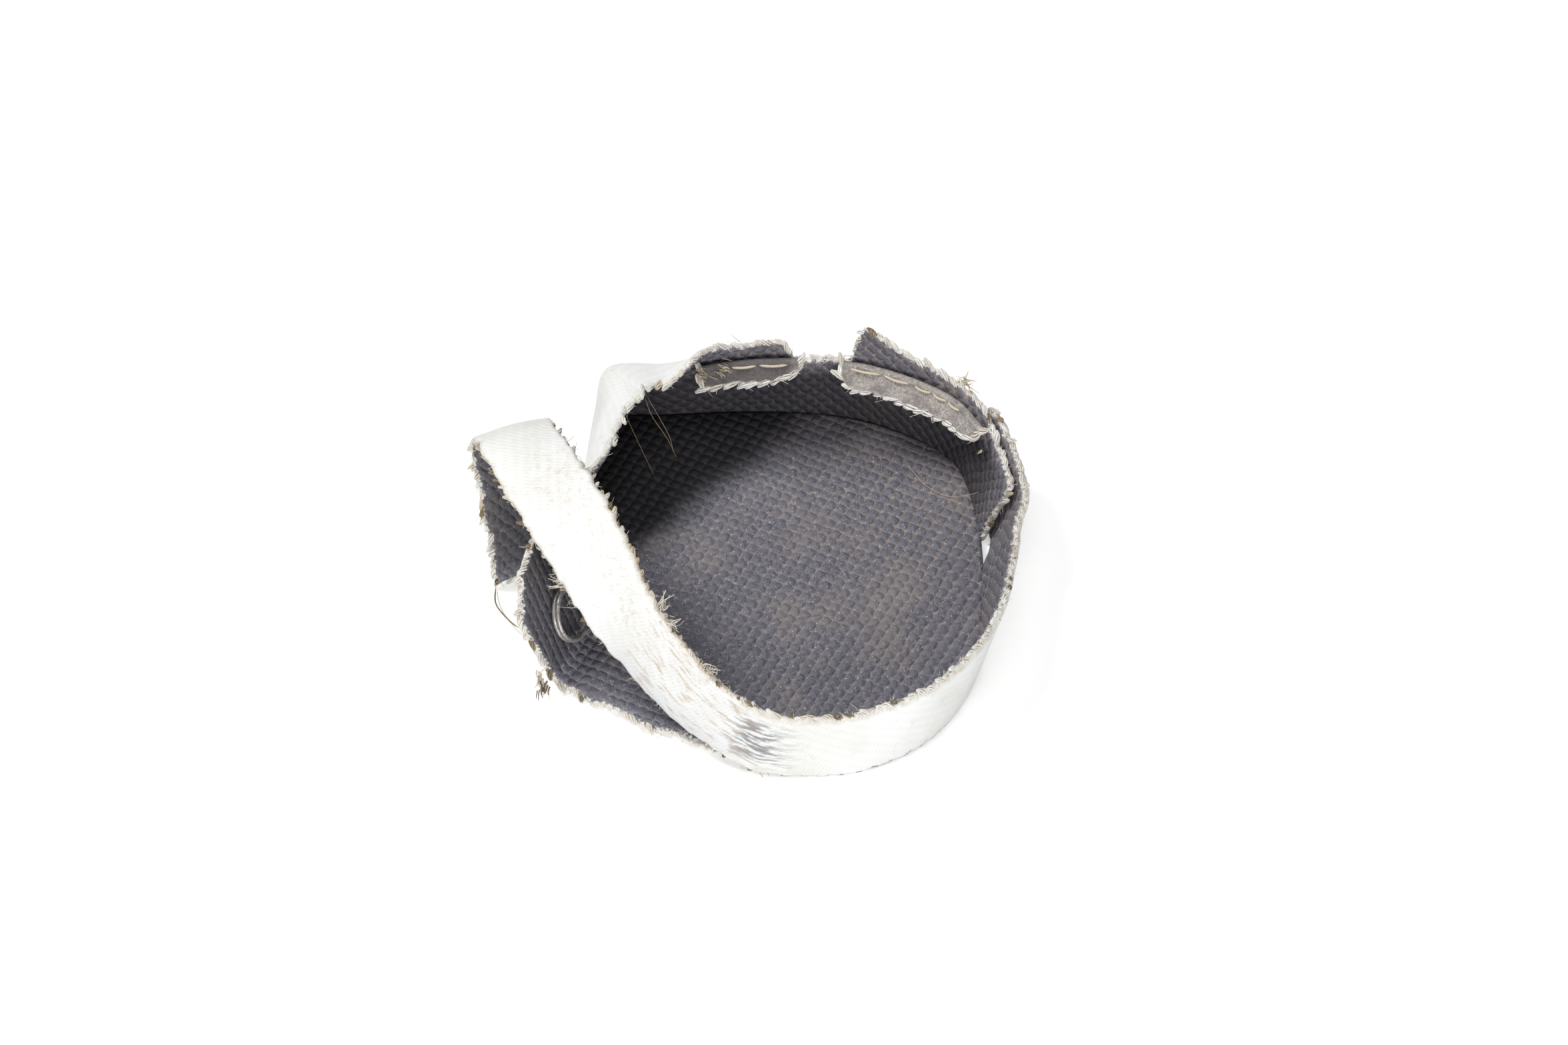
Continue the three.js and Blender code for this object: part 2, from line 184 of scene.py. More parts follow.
def edge_heavy(count: int, rim: int, share: float) -> Array:
    """Values from 0 to 1 that crowd at both ends, for the half-round of a cut edge.

    Args:
        count: even steps in the middle.
        rim: extra steps at each end.
        share: part of the span that one half-round takes.

    Returns:
        The values, 1 - cos spaced within the half-rounds.
    """
    turn = np.linspace(0, math.pi / 2, rim + 1)[:-1]
    start = share * (1 - np.cos(turn))
    return np.concatenate([start, np.linspace(share, 1 - share, count + 1), 1 - start[::-1]])


class Side(Enum):
    """The four borders of a sheet's grid."""

    FIRST = "u0"
    LAST = "u1"
    LOW = "v0"
    HIGH = "v1"


@dataclass
class Sheet:
    """The middle surface of a sheet of cloth on a grid, in mm.

    Args:
        middle: places, rows along u and columns along v, 3 numbers each.
        cloth: places in the flat cloth, 2 numbers each, for the weave.
        rim: distance of each grid point from the nearest cut edge.
        frayed: distance from the nearest edge that shows bare yarn, if not the same.
        thin: share of the full thickness.
        closed: whether the grid joins up in u.
    """

    middle: Array
    cloth: Array
    rim: Array
    frayed: Array | None = None
    thin: Array | float = 1.0
    closed: bool = False

    def normals(self) -> Array:
        """Unit normals of the outer face, du x dv."""
        if self.closed:
            wrapped = np.concatenate([self.middle[-1:], self.middle, self.middle[:1]])
            du = (wrapped[2:] - wrapped[:-2])
        else:
            du = np.gradient(self.middle, axis=0)
        dv = np.gradient(self.middle, axis=1)
        normal = np.cross(du, dv)
        weak = np.linalg.norm(normal, axis=-1, keepdims=True) < 1e-9
        return np.where(weak, np.roll(unit(normal), -1, axis=1), unit(normal))

    def border(self, side: Side) -> "Edge":
        """The cut edge along one border.

        Args:
            side: which border.

        Returns:
            Its places, with the directions off the cloth and out of its outer face.
        """
        grid = self.middle if side in (Side.LOW, Side.HIGH) else self.middle.swapaxes(0, 1)
        normal = self.normals() if side in (Side.LOW, Side.HIGH) else self.normals().swapaxes(0, 1)
        first = side in (Side.LOW, Side.FIRST)
        edge, within, k = (0, 6, 0) if first else (-1, -7, -1)
        return Edge(grid[:, edge], unit(grid[:, edge] - grid[:, within]), normal[:, k])


@dataclass
class Edge:
    """A cut edge: its places in mm, and unit directions off the cloth and out of its face."""

    at: Array
    off: Array
    out: Array

    def every(self, step: float, jitter: Array | float = 0.0) -> "Edge":
        """The edge at even steps along it.

        Args:
            step: spacing in mm.
            jitter: shift of each place along the edge, in mm.

        Returns:
            The edge at those places.
        """
        run = np.concatenate([[0], np.cumsum(np.linalg.norm(np.diff(self.at, axis=0), axis=1))])
        count = max(int(run[-1] / step), 2)
        wanted = np.clip((np.arange(count) + 0.5) * run[-1] / count + jitter, 0, run[-1])
        at, off, out = (
            np.stack([np.interp(wanted, run, rows[:, k]) for k in range(3)], axis=1)
            for rows in (self.at, self.off, self.out)
        )
        return Edge(at, unit(off), unit(out))

    def part(self, low: float, high: float) -> "Edge":
        """The stretch between two shares of its points."""
        first = int(low * len(self.at))
        rows = slice(first, max(int(high * len(self.at)), first + 2))
        return Edge(self.at[rows], self.off[rows], self.out[rows])


def make_object(name: str, places: Array, faces: list | Array, finishes: list) -> Piece:
    """A mesh object at the origin.

    Args:
        name: the piece's name.
        places: vertices in mm.
        faces: rows of vertex numbers.
        finishes: its materials.

    Returns:
        The linked object, shaded smooth.
    """
    mesh = bpy.data.meshes.new(name)
    rows = faces.tolist() if isinstance(faces, np.ndarray) else faces
    mesh.from_pydata((places * MM).tolist(), [], rows)
    for finish in finishes:
        mesh.materials.append(finish)
    mesh.shade_smooth()
    piece = bpy.data.objects.new(name, mesh)
    bpy.context.scene.collection.objects.link(piece)
    return piece


def add_numbers(piece: Piece, name: str, values: Array) -> None:
    """Stores one number for each vertex as an attribute."""
    attribute = piece.data.attributes.new(name, "FLOAT", "POINT")
    attribute.data.foreach_set("value", np.ascontiguousarray(values, np.float32))


def weld(piece: Piece, distance: float = 1e-8) -> None:
    """Joins vertices that share a place and drops the faces that this closes up."""
    work = bmesh.new()
    work.from_mesh(piece.data)
    bmesh.ops.remove_doubles(work, verts=work.verts, dist=distance)
    bmesh.ops.dissolve_degenerate(work, edges=work.edges, dist=distance)
    work.to_mesh(piece.data)
    work.free()


def weave_height(x: Array, y: Array, turn: float) -> Array:
    """Plain weave: |cos(pi x / YARN) cos(pi y / YARN)|^DOME, one bump for each crossing.

    The bumps of the one set of yarns reach 1 and those of the other LOW_YARN.

    Args:
        x: first place in the flat cloth, in mm.
        y: second place.
        turn: the yarns' turn from x, in degrees.

    Returns:
        Height from 0 to 1.
    """
    a, b = math.cos(math.radians(turn)), math.sin(math.radians(turn))
    c = np.cos(math.pi * (a * x + b * y) / YARN) * np.cos(math.pi * (a * y - b * x) / YARN)
    return np.where(c > 0, 1.0, LOW_YARN) * np.abs(c) ** DOME


@dataclass(frozen=True)
class ShellMaker:
    """Thickens a sheet into closed cloth whose faces meet in a half-round at each cut edge.

    The half thickness at distance e from the cut edge is T/2 * sqrt(1 - (1 - min(e / r, 1))^2).
    The inner face also carries the relief of the weave, which fades out towards the edge, and
    a hem that shows no bare yarn has the inner face's finish all round.

    Args:
        thickness, rim: thickness T, and the half-round's width r.
        relief, fade: depth of the weave's relief, and the width over which it fades out.
        turn: turn of the yarns against the sheet, in degrees.
    """

    thickness: float = CLOTH
    rim: float = RIM
    relief: float = 0.05
    fade: float = 1.2
    turn: float = -27.0

    def make(self, name: str, sheet: Sheet, inner: Material, outer: Material) -> Piece:
        """Builds the piece.

        Args:
            name: the piece's name.
            sheet: its middle surface.
            inner: finish of the inner face.
            outer: finish of the outer face.

        Returns:
            The object, with the UV map cloth in mm and the attribute rim.
        """
        nu, nv = sheet.rim.shape
        normal = sheet.normals()
        share = np.clip(sheet.rim / self.rim, 0, 1)
        half = self.thickness / 2 * np.sqrt(1 - (1 - share) ** 2) * sheet.thin
        x, y = sheet.cloth[..., 0], sheet.cloth[..., 1]
        woven = self.relief * (weave_height(x, y, self.turn) - 0.5) * smooth(sheet.rim / self.fade)
        outside = sheet.middle + normal * half[..., None]
        inside = sheet.middle - normal * (half + woven)[..., None]
        places = np.concatenate([outside.reshape(-1, 3), inside.reshape(-1, 3)])
        places[:, 2] = np.maximum(places[:, 2], 0)
        count = nu * nv
        index = np.arange(count).reshape(nu, nv)
        rows = np.concatenate([index, index[:1]]) if sheet.closed else index
        a, b = rows[:-1, :-1].ravel(), rows[1:, :-1].ravel()
        c, d = rows[1:, 1:].ravel(), rows[:-1, 1:].ravel()
        faces = np.concatenate([np.stack([a, b, c, d], 1), np.stack([a, d, c, b], 1) + count])
        piece = make_object(name, places, faces, [inner, outer])
        bare = sheet.rim if sheet.frayed is None else sheet.frayed
        hem = (sheet.rim < self.rim) & (bare > sheet.rim + self.rim)
        side = np.concatenate([np.where(hem.ravel()[b], 0, 1), np.zeros(len(a), int)]).astype(np.int32)
        piece.data.polygons.foreach_set("material_index", side)
        add_numbers(piece, "rim", np.tile(bare.ravel(), 2))
        self._map_cloth(piece, sheet)
        weld(piece)
        return piece

    @staticmethod
    def _map_cloth(piece: Piece, sheet: Sheet) -> None:
        """Writes the flat cloth's places as the UV map cloth, in mm, without a seam jump."""
        loops = np.empty(len(piece.data.loops), np.int32)
        piece.data.loops.foreach_get("vertex_index", loops)
        flat = np.tile(sheet.cloth.reshape(-1, 2), (2, 1))[loops]
        layer = piece.data.uv_layers.new(name="cloth")
        layer.data.foreach_set("uv", flat.astype(np.float32).ravel())


@dataclass(frozen=True)
class Corner:
    """A corner of the cup: its angle and half width in degrees, and how far it stands out."""

    angle: float
    bulge: float
    spread: float


@dataclass(frozen=True)
class Foot:
    """Outline of the wall's foot, outside.

    Args:
        width, depth: width w and depth d of the superellipse, in mm.
        squareness: its exponent n.
        corners: where the outline bulges out past it.
    """

    width: float = 48.2
    depth: float = 55.8
    squareness: float = 2.5
    corners: tuple[Corner, ...] = (Corner(127, 5.7, 10), Corner(42, 1.5, 13))

    def outline(self, degrees: Array) -> Array:
        """Radius r = (|cos a / (w/2)|^n + |sin a / (d/2)|^n)^(-1/n), plus for each corner
        bulge / (1 + ((a - angle) / spread)^2).

        Args:
            degrees: angles a from +X.

        Returns:
            Places in plan.
        """
        turn = np.radians(degrees)
        x, y = np.abs(np.cos(turn)) / (self.width / 2), np.abs(np.sin(turn)) / (self.depth / 2)
        radius = (x**self.squareness + y**self.squareness) ** (-1 / self.squareness)
        for corner in self.corners:
            radius = radius + corner.bulge / (1 + ((degrees - corner.angle) / corner.spread) ** 2)
        return np.stack([radius * np.cos(turn), radius * np.sin(turn)], axis=-1)

    def point(self, degrees: Array, inset: Array | float) -> tuple[Array, Array]:
        """The outline moved inwards, square to itself.

        Args:
            degrees: angles from +X.
            inset: how far it is moved.

        Returns:
            Places in plan, and the outward directions there.
        """
        run = self.outline(degrees + 1) - self.outline(degrees - 1)
        outward = unit(np.stack([run[..., 1], -run[..., 0]], axis=-1))
        return self.outline(degrees) - outward * np.asarray(inset)[..., None], outward


FOOT = Foot()


def lift(plan: Array, z: Array | float = 0.0) -> Array:
    """Plan places with a height."""
    return np.concatenate([plan, np.broadcast_to(np.asarray(z, float), plan.shape[:-1])[..., None]], axis=-1)


@dataclass
class Station:
    """A place along the band: its centre, the direction across it, and its width."""

    centre: Array
    across: Array
    width: float


@dataclass
class WallBand:
    """The strip that makes the right and front wall, the strap over the tongue and the tail.

    Args:
        width, strap_width: its width on the wall and on the strap, in mm.
        start, lift_off: where it starts and where it leaves the foot outline, in degrees.
        lap_fade, lap_end: the lap over the back wall: its run-out and its end, in degrees.
        turns: stations along the wall.
        lean: its lean outwards, in degrees, against the angle round the cup.
        crest, crest_turn, crest_climb: the fold's place, heading and slope where it starts.
        fold_radius, fold_steps: the hairpin's radius in mm and its stations.
        tail_backfold, tail_clear, tail_twist, tail_shares: how far past plumb the tail hangs,
            its height over the table, its twist, and its stations.
        route: the strap's stations, described at strap_stations.
        step, samples: spacing of the grid in mm, and samples of the centre line.
        ragged, crown, waves: depth of the ragged edges, of the crown and of the waves, in mm.
        crown_from, crown_fade: where the crown starts, in mm along the band, and its run-in.
        stood: length of the band that stands on the table.
        sheet: its middle surface, once it is shaped.
    """

    width: float = 9.9
    strap_width: float = 9.2
    start: float = 40.0
    lift_off: float = -88.0
    lap_fade: float = 14.0
    lap_end: float = 18.0
    turns: int = 32
    lean: Pairs = ((-88, 0), (-60, 4), (-38, 11), (-12, 19), (8, 23), (31, 17), (40, 12))
    crest: tuple[float, float, float] = (-29.3, 5.9, 19.6)
    crest_turn: float = 21.0
    crest_climb: float = 15.0
    fold_radius: float = 2.2
    fold_steps: int = 5
    tail_backfold: float = 18.0
    tail_clear: float = 0.4
    tail_twist: float = 8.0
    tail_shares: tuple[float, ...] = (0.35, 0.7, 1.0)
    route: tuple[tuple[float, float, float, float], ...] = (
        (0.06, 2.0, 0.03, 2),
        (0.17, 3.6, 0.12, 6),
        (0.32, 4.4, 0.28, 14),
        (0.5, 4.2, 0.51, 30),
        (0.72, 2.2, 0.79, 60),
    )
    step: float = 0.36
    ragged: float = 0.22
    crown: float = 0.25
    crown_from: float = 70.0
    crown_fade: float = 12.0
    waves: float = 0.12
    stood: float = 56.0
    samples: int = 3000
    sheet: Sheet | None = field(default=None, repr=False)

    def wall_stations(self) -> list[Station]:
        """Stations on the foot outline, leaning out, from the lap to where the band lifts off."""
        angles = np.linspace(self.start, self.lift_off, self.turns + 1)
        lap = LAYER * smooth((angles - self.lap_end) / self.lap_fade + 1)
        at, outward = FOOT.point(angles, CLOTH / 2 - lap)
        lean = np.radians(along(self.lean, angles))[:, None]
        across = np.concatenate([outward * np.sin(lean), np.cos(lean)], axis=1)
        centres = lift(at) + across * self.width / 2
        return [Station(c, a, self.width) for c, a in zip(centres, across)]

    def fold_stations(self) -> list[Station]:
        """Stations round the hairpin, centre = axis + r * (run cos p + up sin p), and down the tail."""
        turn = math.radians(self.crest_turn)
        line = np.array([math.cos(turn), math.sin(turn), 0])
        run = np.array([-line[1], line[0], 0])
        up = np.array([0, 0, 1.0])

        def heading(pitch: float) -> Array:
            """Direction at a pitch in degrees."""
            return run * math.cos(math.radians(pitch)) + up * math.sin(math.radians(pitch))

        axis = np.array(self.crest) - up * self.fold_radius
        plumb = -90 - self.tail_backfold
        pitches = np.linspace(self.crest_climb, plumb, self.fold_steps + 1)
        stations = [
            Station(axis + heading(pitch + 90) * self.fold_radius, line, self.strap_width)
            for pitch in pitches
        ]
        down = heading(plumb)
        top = stations[-1].centre
        length = (top[2] - self.tail_clear) / -down[2]
        for share in self.tail_shares:
            twist = math.radians(-self.tail_twist * share)
            across = line * math.cos(twist) + np.cross(down, line) * math.sin(twist)
            stations.append(Station(top + down * length * share, across, self.strap_width))
        return stations

    def strap_stations(self, start: Array, end: Array) -> list[Station]:
        """Stations of the strap between the wall and the fold.

        Args:
            start: the last centre on the wall.
            end: the first centre of the fold.

        Returns:
            One station for each row of the route: share of the way, sideways offset, share
            of the rise, and roll in degrees.
        """
        run = end - start
        aside = unit(np.array([-run[1], run[0], 0]))
        share, offset, rise, roll = np.array(self.route).T
        centres = start + run * share[:, None] + aside * offset[:, None]
        centres[:, 2] = start[2] + run[2] * rise
        points = np.vstack([start, centres, end])
        tangent = unit(points[2:] - points[:-2])
        outward = unit(np.cross([0, 0, 1.0], tangent))
        up = unit(np.cross(tangent, outward))
        turn = np.radians(roll)[:, None]
        across = up * np.cos(turn) - outward * np.sin(turn)
        widths = self.width + (self.strap_width - self.width) * share
        return [Station(c, a, w) for c, a, w in zip(centres, across, widths)]

    def shape(self) -> Sheet:
        """Ruled surface upper(s) + f (lower(s) - upper(s)) with ragged edges and a low crown.

        Up to the length stood the lower edge rests on the table and shows no bare yarn.

        Returns:
            The middle surface, even in arc length s.
        """
        wall, fold = self.wall_stations(), self.fold_stations()
        stations = [*wall, *self.strap_stations(wall[-1].centre, fold[0].centre), *fold]
        centre = np.array([s.centre for s in stations])
        across = np.array([s.across * s.width / 2 for s in stations])
        fine = np.linspace(0, 1, self.samples)
        line = centripetal(centre, fine)
        run = np.concatenate([[0], np.cumsum(np.linalg.norm(np.diff(line, axis=0), axis=1))])
        length = run[-1]
        s = length * edge_heavy(int(length / self.step), RIM_STEPS, RIM / length)
        t = np.interp(s, run, fine)
        lower, upper = centripetal(centre - across, t), centripetal(centre + across, t)
        f = edge_heavy(int(self.width / self.step), RIM_STEPS, RIM / self.width)
        noise = SoftNoise(SEED)
        low = self.ragged * (noise.at(s / 0.8, 3) + noise.at(s / 4.1, 7))
        high = self.ragged * (noise.at(s / 0.8, 13) + noise.at(s / 4.1, 17))
        width = np.linalg.norm(upper - lower, axis=1)
        spread = (low[:, None] * (f - 1) + high[:, None] * f) / width[:, None] + f
        middle = lower[:, None] + (upper - lower)[:, None] * (1 - spread)[..., None]
        sheet = Sheet(middle, np.zeros(middle.shape[:2] + (2,)), np.zeros(middle.shape[:2]))
        bow = self.crown * (1 - (2 * f - 1) ** 2) * smooth((s - self.crown_from) / self.crown_fade)[:, None]
        waves = self.waves * noise.at(s[:, None] / 5.0, f * 2.0)
        sheet.middle = middle + sheet.normals() * (bow + waves)[..., None]
        sheet.cloth = np.stack(np.broadcast_arrays(s[:, None], (1 - f) * self.width), axis=-1)
        ends = np.minimum(s, length - s)[:, None]
        upper_rim, lower_rim = f * width[:, None], (1 - f) * width[:, None]
        sheet.rim = np.minimum(ends, np.minimum(upper_rim, lower_rim))
        stood = s[:, None] < self.stood
        sheet.frayed = np.minimum(ends, np.minimum(upper_rim, lower_rim + np.where(stood, UNFRAYED, 0)))
        self.sheet = sheet
        return sheet


@dataclass(frozen=True)
class WallStation:
    """The back wall at one angle.

    Args:
        angle: degrees round the cup from +X.
        lower, upper: its leans below and above the seam line, in degrees.
        margin: length of the cloth above that line, in mm.
    """

    angle: float
    lower: float
    upper: float
    margin: float


@dataclass
class BackWall:
    """The wider strip at the back, bent at its seam line, with the notch and the folded corner.

    Args:
        seam, softness: length up the cloth to the seam line, and the length of its bend.
        stations: the wall at rising angles.
        rows, step, spacing: rows up the wall, grid step, and the length that the steps share out.
        length: the strip's own length, in mm.
        height_share: share of the height that each half-round takes.
        margin_thinning: how much thinner the worn margin is, as a share.
        ragged, waves: depth of the ragged edge and of the waves, in mm.
        sheet: its middle surface, once it is shaped.
    """

    seam: float = 9.4
    softness: float = 4.0
    stations: tuple[WallStation, ...] = (
        WallStation(18, 21, 21, 0.2),
        WallStation(31, 17, 17, 0.3),
        WallStation(37, 12, 10, 2.2),
        WallStation(55, 5, 1, 2.9),
        WallStation(64, 3, -1, 5.2),
        WallStation(68.6, 2, 0, 6.5),
        WallStation(73, 1, 0, 0.5),
        WallStation(86, 0, -4, 0.3),
        WallStation(88, 0, -6, 3.2),
        WallStation(100, -2, -12, 3.4),
        WallStation(107, -3, -24, 4.0),
        WallStation(118, -3, -72, 5.4),
        WallStation(128, -5, -76, 7.0),
        WallStation(138, -13, -60, 3.2),
        WallStation(150, -14, -43, 2.2),
        WallStation(162, -8, -12, 1.5),
    )
    rows: int = 44
    step: float = 0.4
    spacing: float = 90.0
    length: float = 75.0
    height_share: float = 0.045
    margin_thinning: float = 0.3
    ragged: float = 0.25
    waves: float = 0.15
    sheet: Sheet | None = field(default=None, repr=False)

    def table(self, key: str) -> Pairs:
        """One column of the stations against their angles."""
        return tuple((s.angle, getattr(s, key)) for s in self.stations)

    def climb(self, angles: Array, run: Array, inset: float) -> Array:
        """Places on the wall, the sum of heading * d(run) up the cloth.

        The heading leans square to the foot below the seam line and towards the cup's
        centre above it, and the lean turns from lower to upper over the softness.

        Args:
            angles: degrees round the cup, one for each row.
            run: length up the cloth from the foot, rows by columns, rising from 0.
            inset: distance of the foot inside the wall's own middle surface.

        Returns:
            Places, rows by columns.
        """
        at, outward = FOOT.point(angles, CLOTH / 2 + inset)
        radial = np.stack([np.cos(np.radians(angles)), np.sin(np.radians(angles))], axis=-1)
        half = (run[:, 1:] + run[:, :-1]) / 2
        bent = smooth((half - self.seam) / self.softness + 0.5)
        lower = along(self.table("lower"), angles)[:, None]
        upper = along(self.table("upper"), angles)[:, None]
        lean = np.radians(lower + (upper - lower) * bent)
        heading = unit(outward[:, None] + (radial - outward)[:, None] * bent[..., None])
        flow = np.concatenate([heading * np.sin(lean)[..., None], np.cos(lean)[..., None]], axis=-1)
        path = np.cumsum(flow * np.diff(run, axis=1)[..., None], axis=1)
        start = lift(at)[:, None]
        return np.concatenate([start, start + path], axis=1)

    def shape(self) -> Sheet:
        """The wall from its foot to its ragged top.

        Returns:
            The middle surface.
        """
        first, last = self.stations[0].angle, self.stations[-1].angle
        count = int(self.spacing / self.step)
        length = self.length
        angles = first + (last - first) * edge_heavy(count, RIM_STEPS, RIM / length)
        noise = SoftNoise(SEED + 1)
        place = angles * length / (last - first)
        ragged = self.ragged * (noise.at(place / 0.9, 2) + noise.at(place / 3.7, 5))
        tall = self.seam + along(self.table("margin"), angles) + ragged
        v = edge_heavy(self.rows, RIM_STEPS, self.height_share)
        run = tall[:, None] * v
        middle = self.climb(angles, run, 0.0)
        sheet = Sheet(middle, np.zeros(middle.shape[:2] + (2,)), np.zeros(middle.shape[:2]))
        waves = self.waves * noise.at(place[:, None] / 4.0, run / 5.0) * smooth(run / 4)
        sheet.middle = middle + sheet.normals() * waves[..., None]
        sheet.cloth = np.stack(np.broadcast_arrays(place[:, None], run), axis=-1)
        ends = np.minimum(place - place[0], place[-1] - place)[:, None]
        sheet.rim = np.minimum(ends, np.minimum(run, tall[:, None] - run))
        sheet.frayed = np.minimum(ends, tall[:, None] - run)
        sheet.thin = 1 - self.margin_thinning * smooth((run - self.seam) / 2)
        self.sheet = sheet
        return sheet


@dataclass
class SeamStrip:
    """What is left of the inner facing: sewn along the seam line, hanging into the cup.

    Args:
        name: the piece's name.
        first, last: its ends, in degrees round the cup.
        width: its width in mm against the angle.
        rise, sewn: its top's height over the seam line, and the length that is sewn flat.
        droop: how far it hangs in from the wall, in degrees.
        per_degree: its length for each degree, in mm.
        step, rim, rows: grid spacing, the half-round's width, and rows across it.
        ragged: depth of its ragged edge, in mm.
        sheet: its middle surface, once it is shaped.
    """

    name: str
    first: float
    last: float
    width: Pairs
    rise: float = 1.7
    sewn: float = 0.9
    droop: float = 46.0
    per_degree: float = 0.44
    step: float = 0.3
    rim: float = 0.4
    ragged: float = 0.22
    rows: int = 14
    sheet: Sheet | None = field(default=None, repr=False)

    def shape(self, wall: BackWall) -> Sheet:
        """The strip from its hanging edge up to its sewn one.

        Its heading turns from the wall's own lean to the droop just below the sewn part.

        Args:
            wall: the back wall that it is sewn to.

        Returns:
            The middle surface.
        """
        span = (self.last - self.first) * self.per_degree
        spread = edge_heavy(int(span / self.step), RIM_STEPS, self.rim / span)
        angles = self.first + (self.last - self.first) * spread
        height = wall.seam + self.rise
        run = np.broadcast_to(np.linspace(0, height, CLIMB_STEPS), (len(angles), CLIMB_STEPS))
        top = wall.climb(angles, run, LAYER)[:, -1]
        _, outward = FOOT.point(angles, 0.0)
        lean = along(wall.table("lower"), angles)[:, None]
        noise = SoftNoise(SEED + int(self.first))
        place = angles * self.per_degree
        width = along(self.width, angles) + self.ragged * noise.at(place / 0.7, 4)
        down = width[:, None] * (1 - edge_heavy(self.rows, RIM_STEPS, 0.12))[::-1]
        half = (down[:, 1:] + down[:, :-1]) / 2
        heading = np.radians(lean + (self.droop - lean) * smooth((half - self.sewn / 2) / self.sewn))
        inwards, downwards = -outward[:, None] * np.sin(heading)[..., None], -np.cos(heading)[..., None]
        flow = np.concatenate([inwards, downwards], axis=-1)
        path = np.cumsum(flow * np.diff(down, axis=1)[..., None], axis=1)
        middle = np.concatenate([top[:, None], top[:, None] + path], axis=1)[:, ::-1]
        down = down[:, ::-1]
        cloth = np.stack(np.broadcast_arrays(place[:, None], -down), axis=-1)
        ends = np.minimum(place - place[0], place[-1] - place)[:, None]
        rim = np.minimum(ends, np.minimum(down, width[:, None] - down))
        frayed = np.minimum(ends, width[:, None] - down)
        self.sheet = Sheet(middle, cloth, rim, frayed)
        return self.sheet


